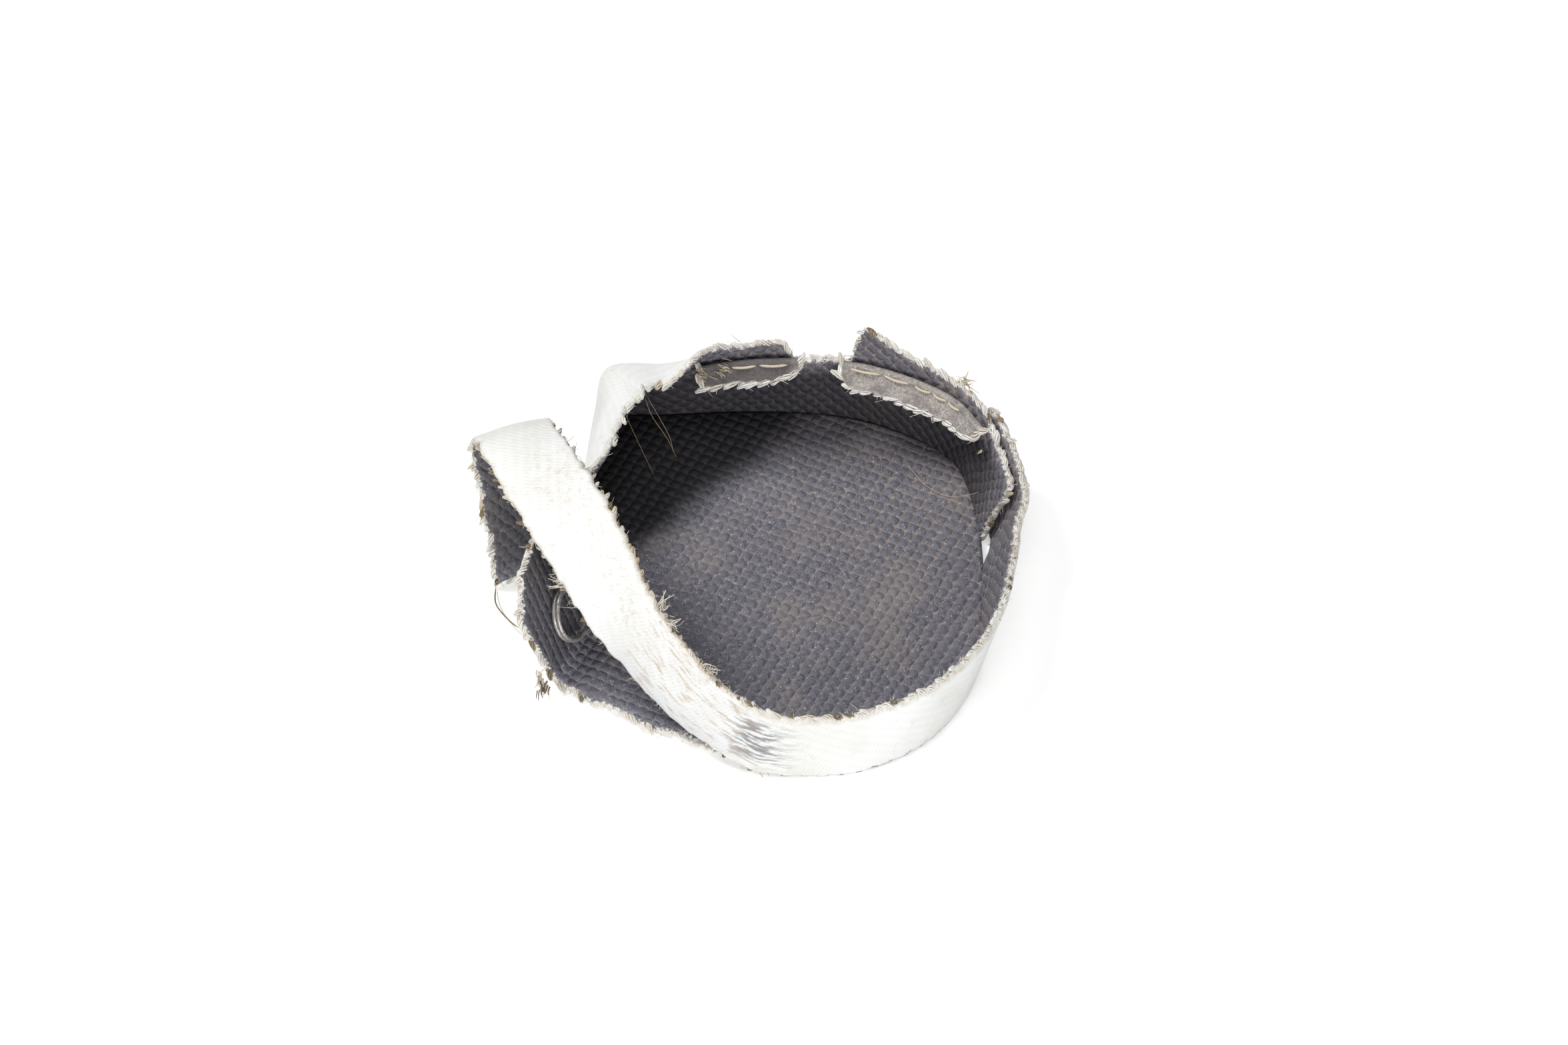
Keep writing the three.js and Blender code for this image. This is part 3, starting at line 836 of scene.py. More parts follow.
@dataclass
class FloorPanel:
    """The flat panel and its tongue, cut in one and rolled up at the tongue's crease.

    Args:
        mouth, panel_end: where the round part of the outline starts and ends, in degrees.
        reach, backset, turn: the crease's middle, left of the centre and in front of it, and its turn.
        tongue_width: the crease's length.
        slope, bend: the rolled part's slope in degrees and the radius of its bend.
        swell: how far the tongue's front edge bulges, in mm.
        rise: height of the cut end over the table, along the crease.
        heart: the point that the grid's rays start from.
        around, rings: rays, and steps along each.
        covered, tuck: share of the outline that lies under the walls, and how far it is tucked in.
        open: share of the outline that is frayed.
        ragged, spacing, ripple: depth of the ragged edge, the rays' spacing along it, and depth
            of the ripples, in mm.
        sheet: its middle surface, once it is shaped.
    """

    mouth: float = -90.0
    panel_end: float = 166.0
    reach: float = 20.3
    backset: float = 7.4
    tongue_width: float = 17.0
    turn: float = 20.0
    slope: float = 66.0
    bend: float = 2.6
    swell: float = 1.8
    rise: Pairs = ((0, 10.0), (0.3, 13.6), (0.65, 13.8), (1, 12.4))
    heart: tuple[float, float] = (-8.0, -8.0)
    around: int = 430
    rings: int = 92
    covered: float = 0.655
    open: tuple[float, float] = (0.67, 0.975)
    ragged: float = 0.25
    spacing: float = 0.46
    ripple: float = 0.16
    tuck: Pairs = ((0, 0.35), (0.08, 0.35), (0.13, 0.85), (0.25, 1.05), (0.3, 0.8), (0.35, 0.35), (1, 0.35))
    sheet: Sheet | None = field(default=None, repr=False)

    def axes(self) -> Tubes:
        """The crease's middle, its run and the direction out past it, in plan."""
        turn = math.radians(self.turn)
        run = np.array([math.sin(turn), math.cos(turn)])
        out = np.array([-math.cos(turn), math.sin(turn)])
        return np.array([-self.reach, -self.backset]), run, out

    def crease(self, share: Array | float) -> Array:
        """Place on the crease, from 0 at its front to 1 at its back."""
        middle, run, _ = self.axes()
        return middle + run * ((np.asarray(share) - 0.5) * self.tongue_width)[..., None]

    def curled_length(self, share: Array) -> Array:
        """Cloth beyond the crease up to the cut end: bend, then the straight slope."""
        slope = math.radians(self.slope)
        bent = self.bend * (1 - math.cos(slope))
        return self.bend * slope + (along(self.rise, share) - CLOTH / 2 - bent) / math.sin(slope)

    def outline(self, walls: BackWall) -> Array:
        """The flat cut outline, counter-clockwise from the tongue's mouth, even in length.

        Args:
            walls: the back wall, which leans in over part of the panel.

        Returns:
            Places in the flat cloth.
        """
        angles = np.linspace(self.mouth, self.panel_end, 300)
        lean = np.where(angles > 90, along(walls.table("lower"), angles), 0)
        inset = LAYER + CLOTH * np.tan(np.radians(np.maximum(0, -lean)))
        panel, _ = FOOT.point(angles, inset)
        _, _, out = self.axes()
        share = np.linspace(1, 0, 40)
        top = self.crease(share) + out * self.curled_length(share)[:, None]
        front, mouth = self.crease(0.0), panel[0]
        run = mouth - front
        aside = unit(np.array([run[1], -run[0]])) * self.swell
        control = front + run * 0.4 + aside
        t = np.linspace(0, 1, 60)[1:-1, None]
        curve = front * (1 - t) ** 2 + control * 2 * t * (1 - t) + mouth * t * t
        points = np.vstack([panel, self.crease(1.0), top, front, curve, panel[:1]])
        length = np.concatenate([[0], np.cumsum(np.linalg.norm(np.diff(points, axis=0), axis=1))])
        even = np.linspace(0, length[-1], self.around, endpoint=False)
        return np.stack([np.interp(even, length, points[:, k]) for k in (0, 1)], axis=1)

    def roll_up(self, flat: Array) -> Array:
        """Rolls the flat cloth up past the crease.

        Past it by d, the turn is a = min(d, bend arc) / r, and the place moves to
        r sin a + rest cos slope outwards and r (1 - cos a) + rest sin slope upwards.

        Args:
            flat: places in the flat cloth.

        Returns:
            Places of the middle surface.
        """
        middle, run, out = self.axes()
        past = (flat - middle) @ out
        share = (flat - middle) @ run / self.tongue_width + 0.5
        past = np.where(share <= 1.0, np.maximum(past, 0), 0)
        slope = math.radians(self.slope)
        arc = self.bend * slope
        turned = np.minimum(past, arc) / self.bend
        rest = np.maximum(past - arc, 0)
        forward = self.bend * np.sin(turned) + rest * math.cos(slope)
        up = self.bend * (1 - np.cos(turned)) + rest * math.sin(slope)
        plan = flat + out * (forward - past)[..., None]
        return lift(plan, CLOTH / 2 + up)

    def shape(self, walls: BackWall) -> Sheet:
        """Rays from the heart of the cloth to its outline, heart + v (edge - heart), rolled up.

        The hem that lies hidden under the walls is even and tucked in; the rest is ragged.

        Args:
            walls: the back wall, which leans in over part of the panel.

        Returns:
            The middle surface, closed round the outline.
        """
        edge = self.outline(walls)
        heart = np.array(self.heart)
        reach = np.linalg.norm(edge - heart, axis=1)
        noise = SoftNoise(SEED + 2)
        place = np.arange(self.around) * self.spacing
        ragged = self.ragged * (noise.at(place / 0.8, 1) + noise.at(place / 3.3, 9))
        hidden = np.arange(self.around) < self.covered * self.around
        tuck = along(self.tuck, np.arange(self.around) / self.around)
        reach = reach + np.where(hidden, tuck, ragged)
        edge = heart + unit(edge - heart) * reach[:, None]
        turn = np.linspace(0, math.pi / 2, RIM_STEPS + 1)[1:]
        near = RIM / reach[:, None]
        inner = np.linspace(0, 1, self.rings + 1)[None] * (1 - near)
        v = np.concatenate([inner, 1 - near * (1 - np.sin(turn))], axis=1)
        flat = heart + (edge - heart)[:, None] * v[..., None]
        middle = self.roll_up(flat)
        rim = (1 - v) * reach[:, None]
        ripple = self.ripple * noise.at(flat[..., 0] / 7.0 + 40, flat[..., 1] / 7.0 + 40)
        middle[..., 2] += np.maximum(ripple, -0.05) * smooth(rim / 3)
        self.sheet = Sheet(middle, flat, rim, np.where(hidden[:, None], rim + UNFRAYED, rim), closed=True)
        return self.sheet

    def open_edge(self) -> Edge:
        """The frayed edge round the tongue and on to the panel's mouth."""
        rim = self.sheet.middle[:, -1]
        edge = Edge(rim, unit(rim - self.sheet.middle[:, -8]), self.sheet.normals()[:, -4])
        return edge.part(*self.open)


def tubes(centres: Array, radii: Array, sides: int) -> tuple[Array, Array]:
    """Closed tubes round many centre lines at once.

    Ring point = centre + r (cos a * first + sin a * second), with the two directions square
    to the line, and one flat cap at each end.

    Args:
        centres: tubes by rings by 3.
        radii: tubes by rings.
        sides: points round each ring.

    Returns:
        Places and faces, 4 numbers each; a cap is a fan of quads round its ring.
    """
    count, rings, _ = centres.shape
    tangent = unit(np.gradient(centres, axis=1))
    mean = unit(tangent.mean(axis=1))
    least = np.eye(3)[np.argmin(np.abs(mean), axis=1)]
    first = unit(np.cross(tangent, least[:, None]))
    second = np.cross(tangent, first)
    turn = np.linspace(0, 2 * math.pi, sides, endpoint=False)
    ring = first[:, :, None] * np.cos(turn)[:, None] + second[:, :, None] * np.sin(turn)[:, None]
    places = centres[:, :, None] + ring * radii[:, :, None, None]
    index = np.arange(count * rings * sides).reshape(count, rings, sides)
    after = np.roll(index, -1, axis=2)
    walls = np.stack([index[:, :-1], after[:, :-1], after[:, 1:], index[:, 1:]], axis=-1).reshape(-1, 4)
    ends = [index[:, 0, ::-1], index[:, -1]]
    if sides == 4:
        return places.reshape(-1, 3), np.concatenate([walls, *ends])
    fans = [
        np.stack([end[:, 0], end[:, k], end[:, k + 1], end[:, min(k + 2, sides - 1)]], axis=-1)
        for end in ends
        for k in range(1, sides - 1, 2)
    ]
    return places.reshape(-1, 3), np.concatenate([walls, *fans])


def column(rng: np.random.Generator, width: float, count: int) -> Array:
    """Normal draws as a column, with a mean of 0."""
    return rng.normal(0, width, count)[:, None]


@dataclass(frozen=True)
class Fray:
    """Cut yarn ends along an edge: short twisted bundles that lean along it, and fine fibres.

    A bundle's strand k is root + aim L t + B sin(pi (0.08 + 0.84 t))^0.7 (cos(p_k + twist t) out
    + sin(p_k + twist t) side), where aim leans off the edge by the angle.

    Args:
        pitch, length, thick: spacing, length L and half thickness B of the bundles, in mm.
        strands, strand: strands in a bundle, the last along its middle, and their radius.
        angle: the bundles' lean off the edge, in degrees.
        sink: how far their roots lie inside the edge, in mm.
        uneven, sway: spread of their lengths and of their angles, as shares.
        jitter, wander: spread of their places along the edge and across it, in mm.
        back: share of the length that lies behind the root.
        twist: turn from end to end, in radians.
        fibres, fibre: fine fibres for each mm of edge, and their mean length in mm.
        fibre_jitter, fibre_radius: spread of their places, and range of their radii, in mm.
        dirt, fibre_dirt: share of sooted bundles, and how much more often fibres are.
        cream, sooted: mean shade of the clean yarns, and shade of the sooted ones.
    """

    pitch: float = 1.15
    length: float = 1.75
    thick: float = 0.24
    strands: int = 6
    strand: float = 0.125
    angle: float = 30.0
    sink: float = 0.22
    uneven: float = 0.25
    jitter: float = 0.16
    sway: float = 0.35
    wander: float = 0.12
    back: float = 0.4
    twist: float = 2.4
    fibres: float = 5.0
    fibre: float = 0.42
    fibre_jitter: float = 0.3
    fibre_radius: tuple[float, float] = (0.02, 0.04)
    dirt: float = 0.1
    fibre_dirt: float = 1.5
    cream: float = 0.16
    sooted: float = 0.82

    def make(self, name: str, edges: list[Edge], seed: int, finish: Material) -> Piece:
        """Builds the frayed yarns of one piece.

        Args:
            name: the fringe's name.
            edges: the cut edges.
            seed: for its random draws.
            finish: the yarn's material.

        Returns:
            One object with the attribute shade.
        """
        return join_tubes(name, self.parts(edges, seed), finish)

    def parts(self, edges: list[Edge], seed: int) -> list[Tubes]:
        """The yarns of some edges as sets of tubes.

        Args:
            edges: the cut edges.
            seed: for the random draws.

        Returns:
            Places, faces and shades of each set.
        """
        rng = np.random.default_rng(seed)
        return [made for edge in edges for made in (self._bundles(edge, rng), self._fibres(edge, rng))]

    def _bundles(self, edge: Edge, rng: np.random.Generator) -> Tubes:
        """Twisted yarn ends.

        Args:
            edge: the cut edge.
            rng: random draws.

        Returns:
            Places, faces and a shade for each place.
        """
        count = len(edge.every(self.pitch).at)
        line = edge.every(self.pitch, rng.normal(0, self.jitter, count))
        tangent = unit(np.gradient(line.at, axis=0))
        size = self.length * np.clip(1 + column(rng, self.uneven, count), 0.45, 1.8)
        turn = np.radians(self.angle) * np.clip(1 + column(rng, self.sway, count), 0.2, 2.2)
        aside = line.out * column(rng, self.wander, count)
        aim = unit(tangent * np.cos(turn) + line.off * np.sin(turn) + aside)
        aside = line.out * column(rng, self.wander, count)
        root = line.at - aim * size * self.back - line.off * self.sink + aside
        side = unit(np.cross(aim, line.out))
        out = np.cross(side, aim)
        t = np.linspace(0, 1, 6)
        swell = np.sin(math.pi * (0.08 + 0.84 * t))
        phase = 2 * math.pi * np.arange(self.strands) / max(self.strands - 1, 1)
        core = np.where(np.arange(self.strands) == self.strands - 1, 0.0, 1.0)
        angle = phase[None, :, None] + self.twist * t + rng.uniform(0, 6, count)[:, None, None]
        plump = np.clip(1 + column(rng, 0.15, count), 0.6, 1.4)[:, :, None]
        ring = self.thick * plump * core[None, :, None] * swell**0.7
        outwards, sideways = np.cos(angle)[..., None], np.sin(angle)[..., None]
        offset = out[:, None, None] * outwards + side[:, None, None] * sideways
        centres = (root[:, None] + aim[:, None] * (size * t)[..., None])[:, None] + offset * ring[..., None]
        radii = np.broadcast_to(self.strand * swell**0.5, centres.shape[:3])
        places, faces = tubes(centres.reshape(-1, len(t), 3), radii.reshape(-1, len(t)), 4)
        shade = np.repeat(self._shades(count, rng, 1.0), self.strands)
        shade = shade + rng.normal(0, 0.05, len(shade))
        return places, faces, np.repeat(np.clip(shade, 0, 1), len(t) * 4)

    def _fibres(self, edge: Edge, rng: np.random.Generator) -> tuple[Array, Array, Array]:
        """Fine fibres that stand off the bundles: root + aim L t + aside L t^2.

        Args:
            edge: the cut edge.
            rng: random draws.

        Returns:
            Places, faces and a shade for each place.
        """
        count = len(edge.every(1 / self.fibres).at)
        line = edge.every(1 / self.fibres, rng.normal(0, self.fibre_jitter, count))
        tangent = unit(np.gradient(line.at, axis=0))
        size = self.fibre * rng.gamma(2.5, 0.4, count)
        root = line.at - line.off * 0.1 + line.out * rng.uniform(-0.45, 0.45, count)[:, None]
        lean, lift_out = column(rng, 0.8, count), column(rng, 0.5, count)
        aim = unit(line.off + tangent * (0.5 + lean) + line.out * lift_out)
        aside = tangent * column(rng, 0.5, count) + line.out * column(rng, 0.4, count)
        t = np.linspace(0, 1, 4)
        run = size[:, None] * t
        centres = root[:, None] + aim[:, None] * run[..., None] + aside[:, None] * (run * t)[..., None]
        radii = rng.uniform(*self.fibre_radius, count)[:, None] * np.array([1.0, 1.0, 0.85, 0.4])
        places, faces = tubes(centres, radii, 4)
        return places, faces, np.repeat(self._shades(count, rng, self.fibre_dirt), len(t) * 4)

    def _shades(self, count: int, rng: np.random.Generator, dirt: float) -> Array:
        """A shade for each yarn: mostly white to cream, some sooted."""
        pale = np.clip(rng.normal(self.cream, 0.12, count), 0, 0.6)
        return np.where(rng.random(count) < self.dirt * dirt, self.sooted, pale)


@dataclass(frozen=True)
class Tuft:
    """A spray of yarn pulled out of the cloth.

    Args:
        root: its place in mm.
        aim: the way it points.
        length: its length.
        strands: how many threads it has.
        spread: sideways share of the length.
        radius: half a thread's thickness.
        shade: their colour number.
        width: spread of the roots.
        rings: rings along each thread.
    """

    root: tuple[float, float, float]
    aim: tuple[float, float, float]
    length: float
    strands: int = 16
    spread: float = 0.25
    radius: float = 0.07
    shade: float = 0.2
    width: float = 0.5
    rings: int = 7

    def tubes(self, rng: np.random.Generator) -> Tubes:
        """Threads root + aim L t + aside L t^2 + a small wave.

        Args:
            rng: random draws.

        Returns:
            Places, faces and shades.
        """
        aim = unit(np.array(self.aim, float))
        shape = (self.strands, 3)
        size = self.length * rng.uniform(0.6, 1.1, self.strands)[:, None]
        t = np.linspace(0, 1, self.rings)
        run = size * t
        wave = 0.06 * np.sin(6 * t + rng.uniform(0, 6, (self.strands, 1))) * t
        root = np.array(self.root) + rng.normal(0, self.width * 0.4, shape)
        heading = aim + rng.normal(0, self.spread * 0.4, shape)
        centres = root[:, None] + heading[:, None] * run[..., None]
        centres = centres + rng.normal(0, self.spread, shape)[:, None] * (run * t)[..., None]
        centres = centres + unit(rng.normal(0, 1.0, shape))[:, None] * wave[..., None]
        radii = self.radius * rng.uniform(0.6, 1.2, (self.strands, 1)) * np.linspace(1, 0.5, self.rings)
        places, faces = tubes(centres, radii, 4)
        shade = np.clip(self.shade + rng.normal(0, 0.08, self.strands), 0, 1)
        return places, faces, np.repeat(shade, self.rings * 4)


def join_tubes(name: str, parts: list[Tubes], finish: Material) -> Piece:
    """One object from several sets of tubes.

    Args:
        name: the piece's name.
        parts: places, faces and shades of each set.
        finish: the material.

    Returns:
        The object, with the attribute shade and nothing below the table.
    """
    starts = np.cumsum([0] + [len(p) for p, _, _ in parts[:-1]])
    places = np.concatenate([p for p, _, _ in parts])
    faces = np.concatenate([f + start for (_, f, _), start in zip(parts, starts)])
    places[:, 2] = np.maximum(places[:, 2], 0.0)
    piece = make_object(name, places, faces, [finish])
    add_numbers(piece, "shade", np.concatenate([s for _, _, s in parts]))
    return piece


@dataclass(frozen=True)
class Strand:
    """A single loose thread or hair through a few places.

    Args:
        through: places in mm.
        radius: half its thickness.
        shade: its colour number.
        fray: length over which its end thins out, as a share.
    """

    through: tuple[tuple[float, float, float], ...]
    radius: float
    shade: float
    fray: float = 0.15

    def tube(self) -> tuple[Array, Array, Array]:
        """Places, faces and shades of the thread as a closed tube."""
        rings = 10 * len(self.through)
        t = np.linspace(0, 1, rings)
        line = centripetal(np.array(self.through, float), t)
        thin = np.clip(np.minimum(t, 1 - t) / self.fray, 0.2, 1)
        places, faces = tubes(line[None], (self.radius * thin)[None], 6)
        return places, faces, np.full(len(places), self.shade)


@dataclass(frozen=True)
class Stitching:
    """Sewing thread along the seam line, on the strips.

    Args:
        runs: first and last angle of each stitch, in degrees round the cup.
        radius: half the thread's thickness.
        above: height over the seam line.
        proud: how far the thread's ends lie inside the strip's middle.
        arch: how much further its middle stands out.
        shade: its colour number.
    """

    runs: tuple[tuple[float, float], ...] = (
        (71.5, 63.8),
        (62.6, 56.2),
        (54.4, 50.2),
        (49.4, 45.6),
        (44.8, 41.0),
        (100.5, 94.6),
        (93.8, 87.2),
    )
    radius: float = 0.15
    above: float = 1.25
    proud: float = CLOTH * 0.4
    arch: float = 0.22
    shade: float = 0.42

    def make(self, wall: BackWall, finish: Material) -> Piece:
        """Each stitch arches out of the strip by arch * sin(pi t).

        Args:
            wall: the back wall that the strips are sewn to.
            finish: the thread's material.

        Returns:
            The object.
        """
        parts = []
        t = np.linspace(0, 1, 12)
        for first, last in self.runs:
            angles = first + (last - first) * t
            run = np.linspace(0, wall.seam + self.above, CLIMB_STEPS)
            run = np.broadcast_to(run, (len(angles), CLIMB_STEPS))
            line = wall.climb(angles, run, LAYER)[:, -1]
            _, outward = FOOT.point(angles, 0.0)
            line = line - lift(outward) * (self.proud + self.arch * np.sin(math.pi * t))[:, None]
            radii = self.radius * np.clip(np.sin(math.pi * t) * 3, 0.4, 1)
            places, faces = tubes(line[None], radii[None], 8)
            parts.append((places, faces, np.full(len(places), self.shade)))
        return join_tubes("seam_stitches", parts, finish)


@dataclass(frozen=True)
class LooseThreads:
    """Threads, pulled yarns and one long fibre.

    Args:
        strands: threads with both ends known.
        hanging: threads that start at the tail's lower corner.
        tufts: sprays away from the band.
        pulled: sprays at the strap's edges: the edge, the length along the band, how long
            they are, and how much they lean along the edge.
        spray: the rest of a pulled spray.
    """

    strands: tuple[Strand, ...] = (
        Strand(
            ((-15.2, 20.6, 11.0), (-14.4, 20.2, 8.0), (-12.6, 19.6, 4.6), (-11.4, 19.0, 1.6)),
            radius=0.032,
            shade=0.62,
        ),
        Strand(
            ((-15.0, 20.7, 10.9), (-13.6, 20.4, 7.6), (-12.3, 19.4, 5.0), (-11.9, 19.3, 2.4)),
            radius=0.026,
            shade=0.55,
        ),
        Strand(
            ((-17.4, 18.2, 10.6), (-16.6, 17.9, 8.1), (-15.2, 16.8, 4.8), (-13.9, 16.0, 1.6)),
            radius=0.028,
            shade=0.7,
        ),
        Strand(
            ((15.2, 18.3, 1.5), (17.4, 15.0, 1.5), (20.1, 13.3, 1.6), (23.3, 12.7, 3.0), (26.3, 11.6, 6.6)),
            radius=0.03,
            shade=0.5,
            fray=0.02,
        ),
        Strand(((25.0, 16.3, 7.6), (24.2, 15.8, 7.3), (23.1, 15.1, 6.9)), 0.2, 0.45),
        Strand(((9.6, 26.2, 11.3), (8.2, 25.9, 11.9), (6.6, 25.4, 12.0), (5.2, 24.8, 11.6)), 0.05, 0.4),
    )
    hanging: tuple[Strand, ...] = (
        Strand(((-31.9, -3.0, 1.2), (-30.4, -5.2, 1.0), (-29.1, -6.6, 1.1)), 0.09, 0.85),
        Strand(((-31.4, -3.3, 1.0), (-30.0, -5.8, 0.9), (-28.6, -7.8, 1.1)), 0.07, 0.3),
    )
    tufts: tuple[Tuft, ...] = (
        Tuft((-9.2, 24.8, 10.2), (0.6, -0.5, 0.1), 1.2, 22, 0.22, 0.09, 0.48, 0.9),
        Tuft((-6.6, 25.2, 10.9), (0.7, -0.4, 0.2), 1.1, 20, 0.22, 0.09, 0.48, 0.9),
        Tuft((21.6, 21.3, 12.6), (0.3, -0.5, 0.3), 1.6, 12, 0.4, 0.11, 0.42, 0.6),
        Tuft((-26.3, -15.2, 1.2), (-0.2, -0.9, -0.1), 1.3, 16, 0.2, 0.11, 0.85, 0.8),
        Tuft((-26.6, -13.6, 1.3), (-0.1, -0.9, -0.1), 1.3, 16, 0.2, 0.11, 0.3, 0.8),
    )
    spray: Tuft = Tuft(
        (0, 0, 0), (0, 0, 1), 1.0, strands=16, spread=0.25, radius=0.075, shade=0.24, width=0.8
    )
    pulled: tuple[tuple[Side, float, float, float], ...] = (
        (Side.LOW, 83.5, 2.6, -0.2),
        (Side.LOW, 81.5, 2.2, -0.7),
        (Side.LOW, 75.0, 1.9, -0.5),
        (Side.LOW, 73.6, 1.4, -0.3),
        (Side.HIGH, 92.8, 2.0, 0.8),
    )

    def make(self, band: WallBand, finish: Material) -> Piece:
        """All of them as one object.

        Args:
            band: the wall band, with tufts pulled out of the strap's edges.
            finish: the yarn's material.

        Returns:
            The object.
        """
        rng = np.random.default_rng(SEED + 9)
        parts = [strand.tube() for strand in self.strands]
        end = band.sheet.middle[-1]
        corner = tuple(end[np.argmin(end[:, 0])])
        parts.extend(replace(strand, through=(corner, *strand.through)).tube() for strand in self.hanging)
        for side, run, length, lean in self.pulled:
            edge = band.sheet.border(side)
            column = 0 if side is Side.LOW else -1
            k = int(np.argmin(abs(band.sheet.cloth[:, column, 0] - run)))
            aim = edge.off[k] + unit(edge.at[k + 1] - edge.at[k]) * lean + edge.out[k] * 0.3
            root = edge.at[k] - edge.off[k] * 0.2
            parts.append(replace(self.spray, root=tuple(root), aim=tuple(aim), length=length).tubes(rng))
        parts.extend(tuft.tubes(rng) for tuft in self.tufts)
        return join_tubes("loose_threads", parts, finish)


@dataclass
class SplitRing:
    """Double-turn ring of steel wire against the tongue's slope.

    Args:
        diameter, wire: outer diameter and wire thickness, in mm.
        turns, pitch: number of turns and rise of each, in mm.
        place: its place along the crease, from front to back.
        start: angle of the wire's first end, in degrees.
        rounding: turns over which each end is rounded off.
        rings, sides: rings along the wire and points round it.
    """

    diameter: float = 6.5
    wire: float = 0.5
    turns: float = 1.75
    pitch: float = 0.52
    place: float = 0.37
    start: float = 8.0
    rounding: float = 0.02
    rings: int = 220
    sides: int = 16

    def make(self, floor: FloorPanel, finish: Material) -> Piece:
        """Helix R (cos a, sin a) + pitch a / 2 pi, laid against the slope.

        Args:
            floor: the panel whose tongue carries it.
            finish: the wire's material.

        Returns:
            The object.
        """
        slope = math.radians(floor.slope)
        _, _, out = floor.axes()
        rise = floor.bend * math.tan(slope / 2)
        clear = CLOTH / 2 + SEAM_GAP + (self.turns * self.pitch + self.wire) / 2
        low = self.diameter / 2 + SEAM_GAP + rise
        facing = np.array([*(-out * math.sin(slope)), math.cos(slope)])
        upslope = np.array([*(out * math.cos(slope)), math.sin(slope)])
        foot = floor.crease(self.place) + out * rise
        centre = np.array([*foot, CLOTH / 2]) + facing * clear + upslope * low
        level = unit(np.cross([0, 0, 1.0], facing))
        third = np.cross(facing, level)
        t = np.linspace(0, self.turns, self.rings)
        angle = 2 * math.pi * t + math.radians(self.start)
        radius = (self.diameter - self.wire) / 2
        lift_off = (t - self.turns / 2) * self.pitch
        line = centre + np.outer(np.cos(angle), level) * radius + np.outer(np.sin(angle), third) * radius
        line = line + np.outer(lift_off, facing)
        from_end = np.minimum(t, self.turns - t) / self.rounding
        round_end = np.sqrt(np.clip(1 - (1 - from_end).clip(0, 1) ** 2, 0.05, 1))
        places, faces = tubes(line[None], (self.wire / 2 * round_end)[None], self.sides)
        return make_object("ring_wire", places, faces, [finish])


class Tone(Enum):
    """Colours of the finishes as they look on a display, 0 to 255."""

    COATING = (84, 85, 98)
    # painted light: a lit copy of the coating
    LIT_COATING = (176, 172, 178)
    GROOVE = (168, 164, 172)
    DUSTY_GROOVE = (186, 168, 152)
    DUST = (160, 149, 141)
    FLECK = (216, 211, 208)
    # painted shade on the tongue's raised side
    TONGUE_SHADE = (58, 54, 54)
    # painted shadow of the leaning left back wall on the floor
    LEFT_BACK_SHADOW = (20, 19, 23)
    BACK_SHADE = (44, 41, 45)
    WALL_SHADE = (34, 32, 37)
    BARE_YARN = (232, 228, 221)
    WHITE = (246, 247, 246)
    OFF_WHITE = (236, 236, 232)
    # painted shade in the twill's furrows
    FURROW_SHADE = (205, 203, 198)
    STAIN = (196, 178, 150)
    TAN_EDGE = (196, 178, 152)
    SMUDGE = (104, 108, 122)
    FADED_SMUDGE = (150, 152, 160)
    STREAK = (196, 166, 132)
    SPECKLE = (203, 186, 160)
    # painted shade along the strap's edge where it curves away from the light
    STRAP_EDGE_SHADE = (196, 198, 204)
    MATTED = (128, 121, 116)
    FLUFF = (206, 199, 194)
    GREASE = (112, 105, 105)
    SOILED = (78, 74, 76)
    STRIP_EDGE = (222, 216, 207)
    YARN_WHITE = (247, 245, 241)
    YARN_CREAM = (226, 216, 199)
    YARN_STRAW = (190, 170, 132)
    YARN_SOOT = (62, 58, 58)
    YARN_DIRT = (150, 138, 122)
    STEEL = (196, 192, 188)
    DULL_STEEL = (138, 132, 128)
    TABLE = (232, 233, 232)

    @property
    def linear(self) -> tuple[float, float, float, float]:
        """The colour as linear light, with an alpha of 1."""
        shares = [value / 255 for value in self.value]
        line = [c / 12.92 if c <= 0.04045 else ((c + 0.055) / 1.055) ** 2.4 for c in shares]
        return (*line, 1.0)


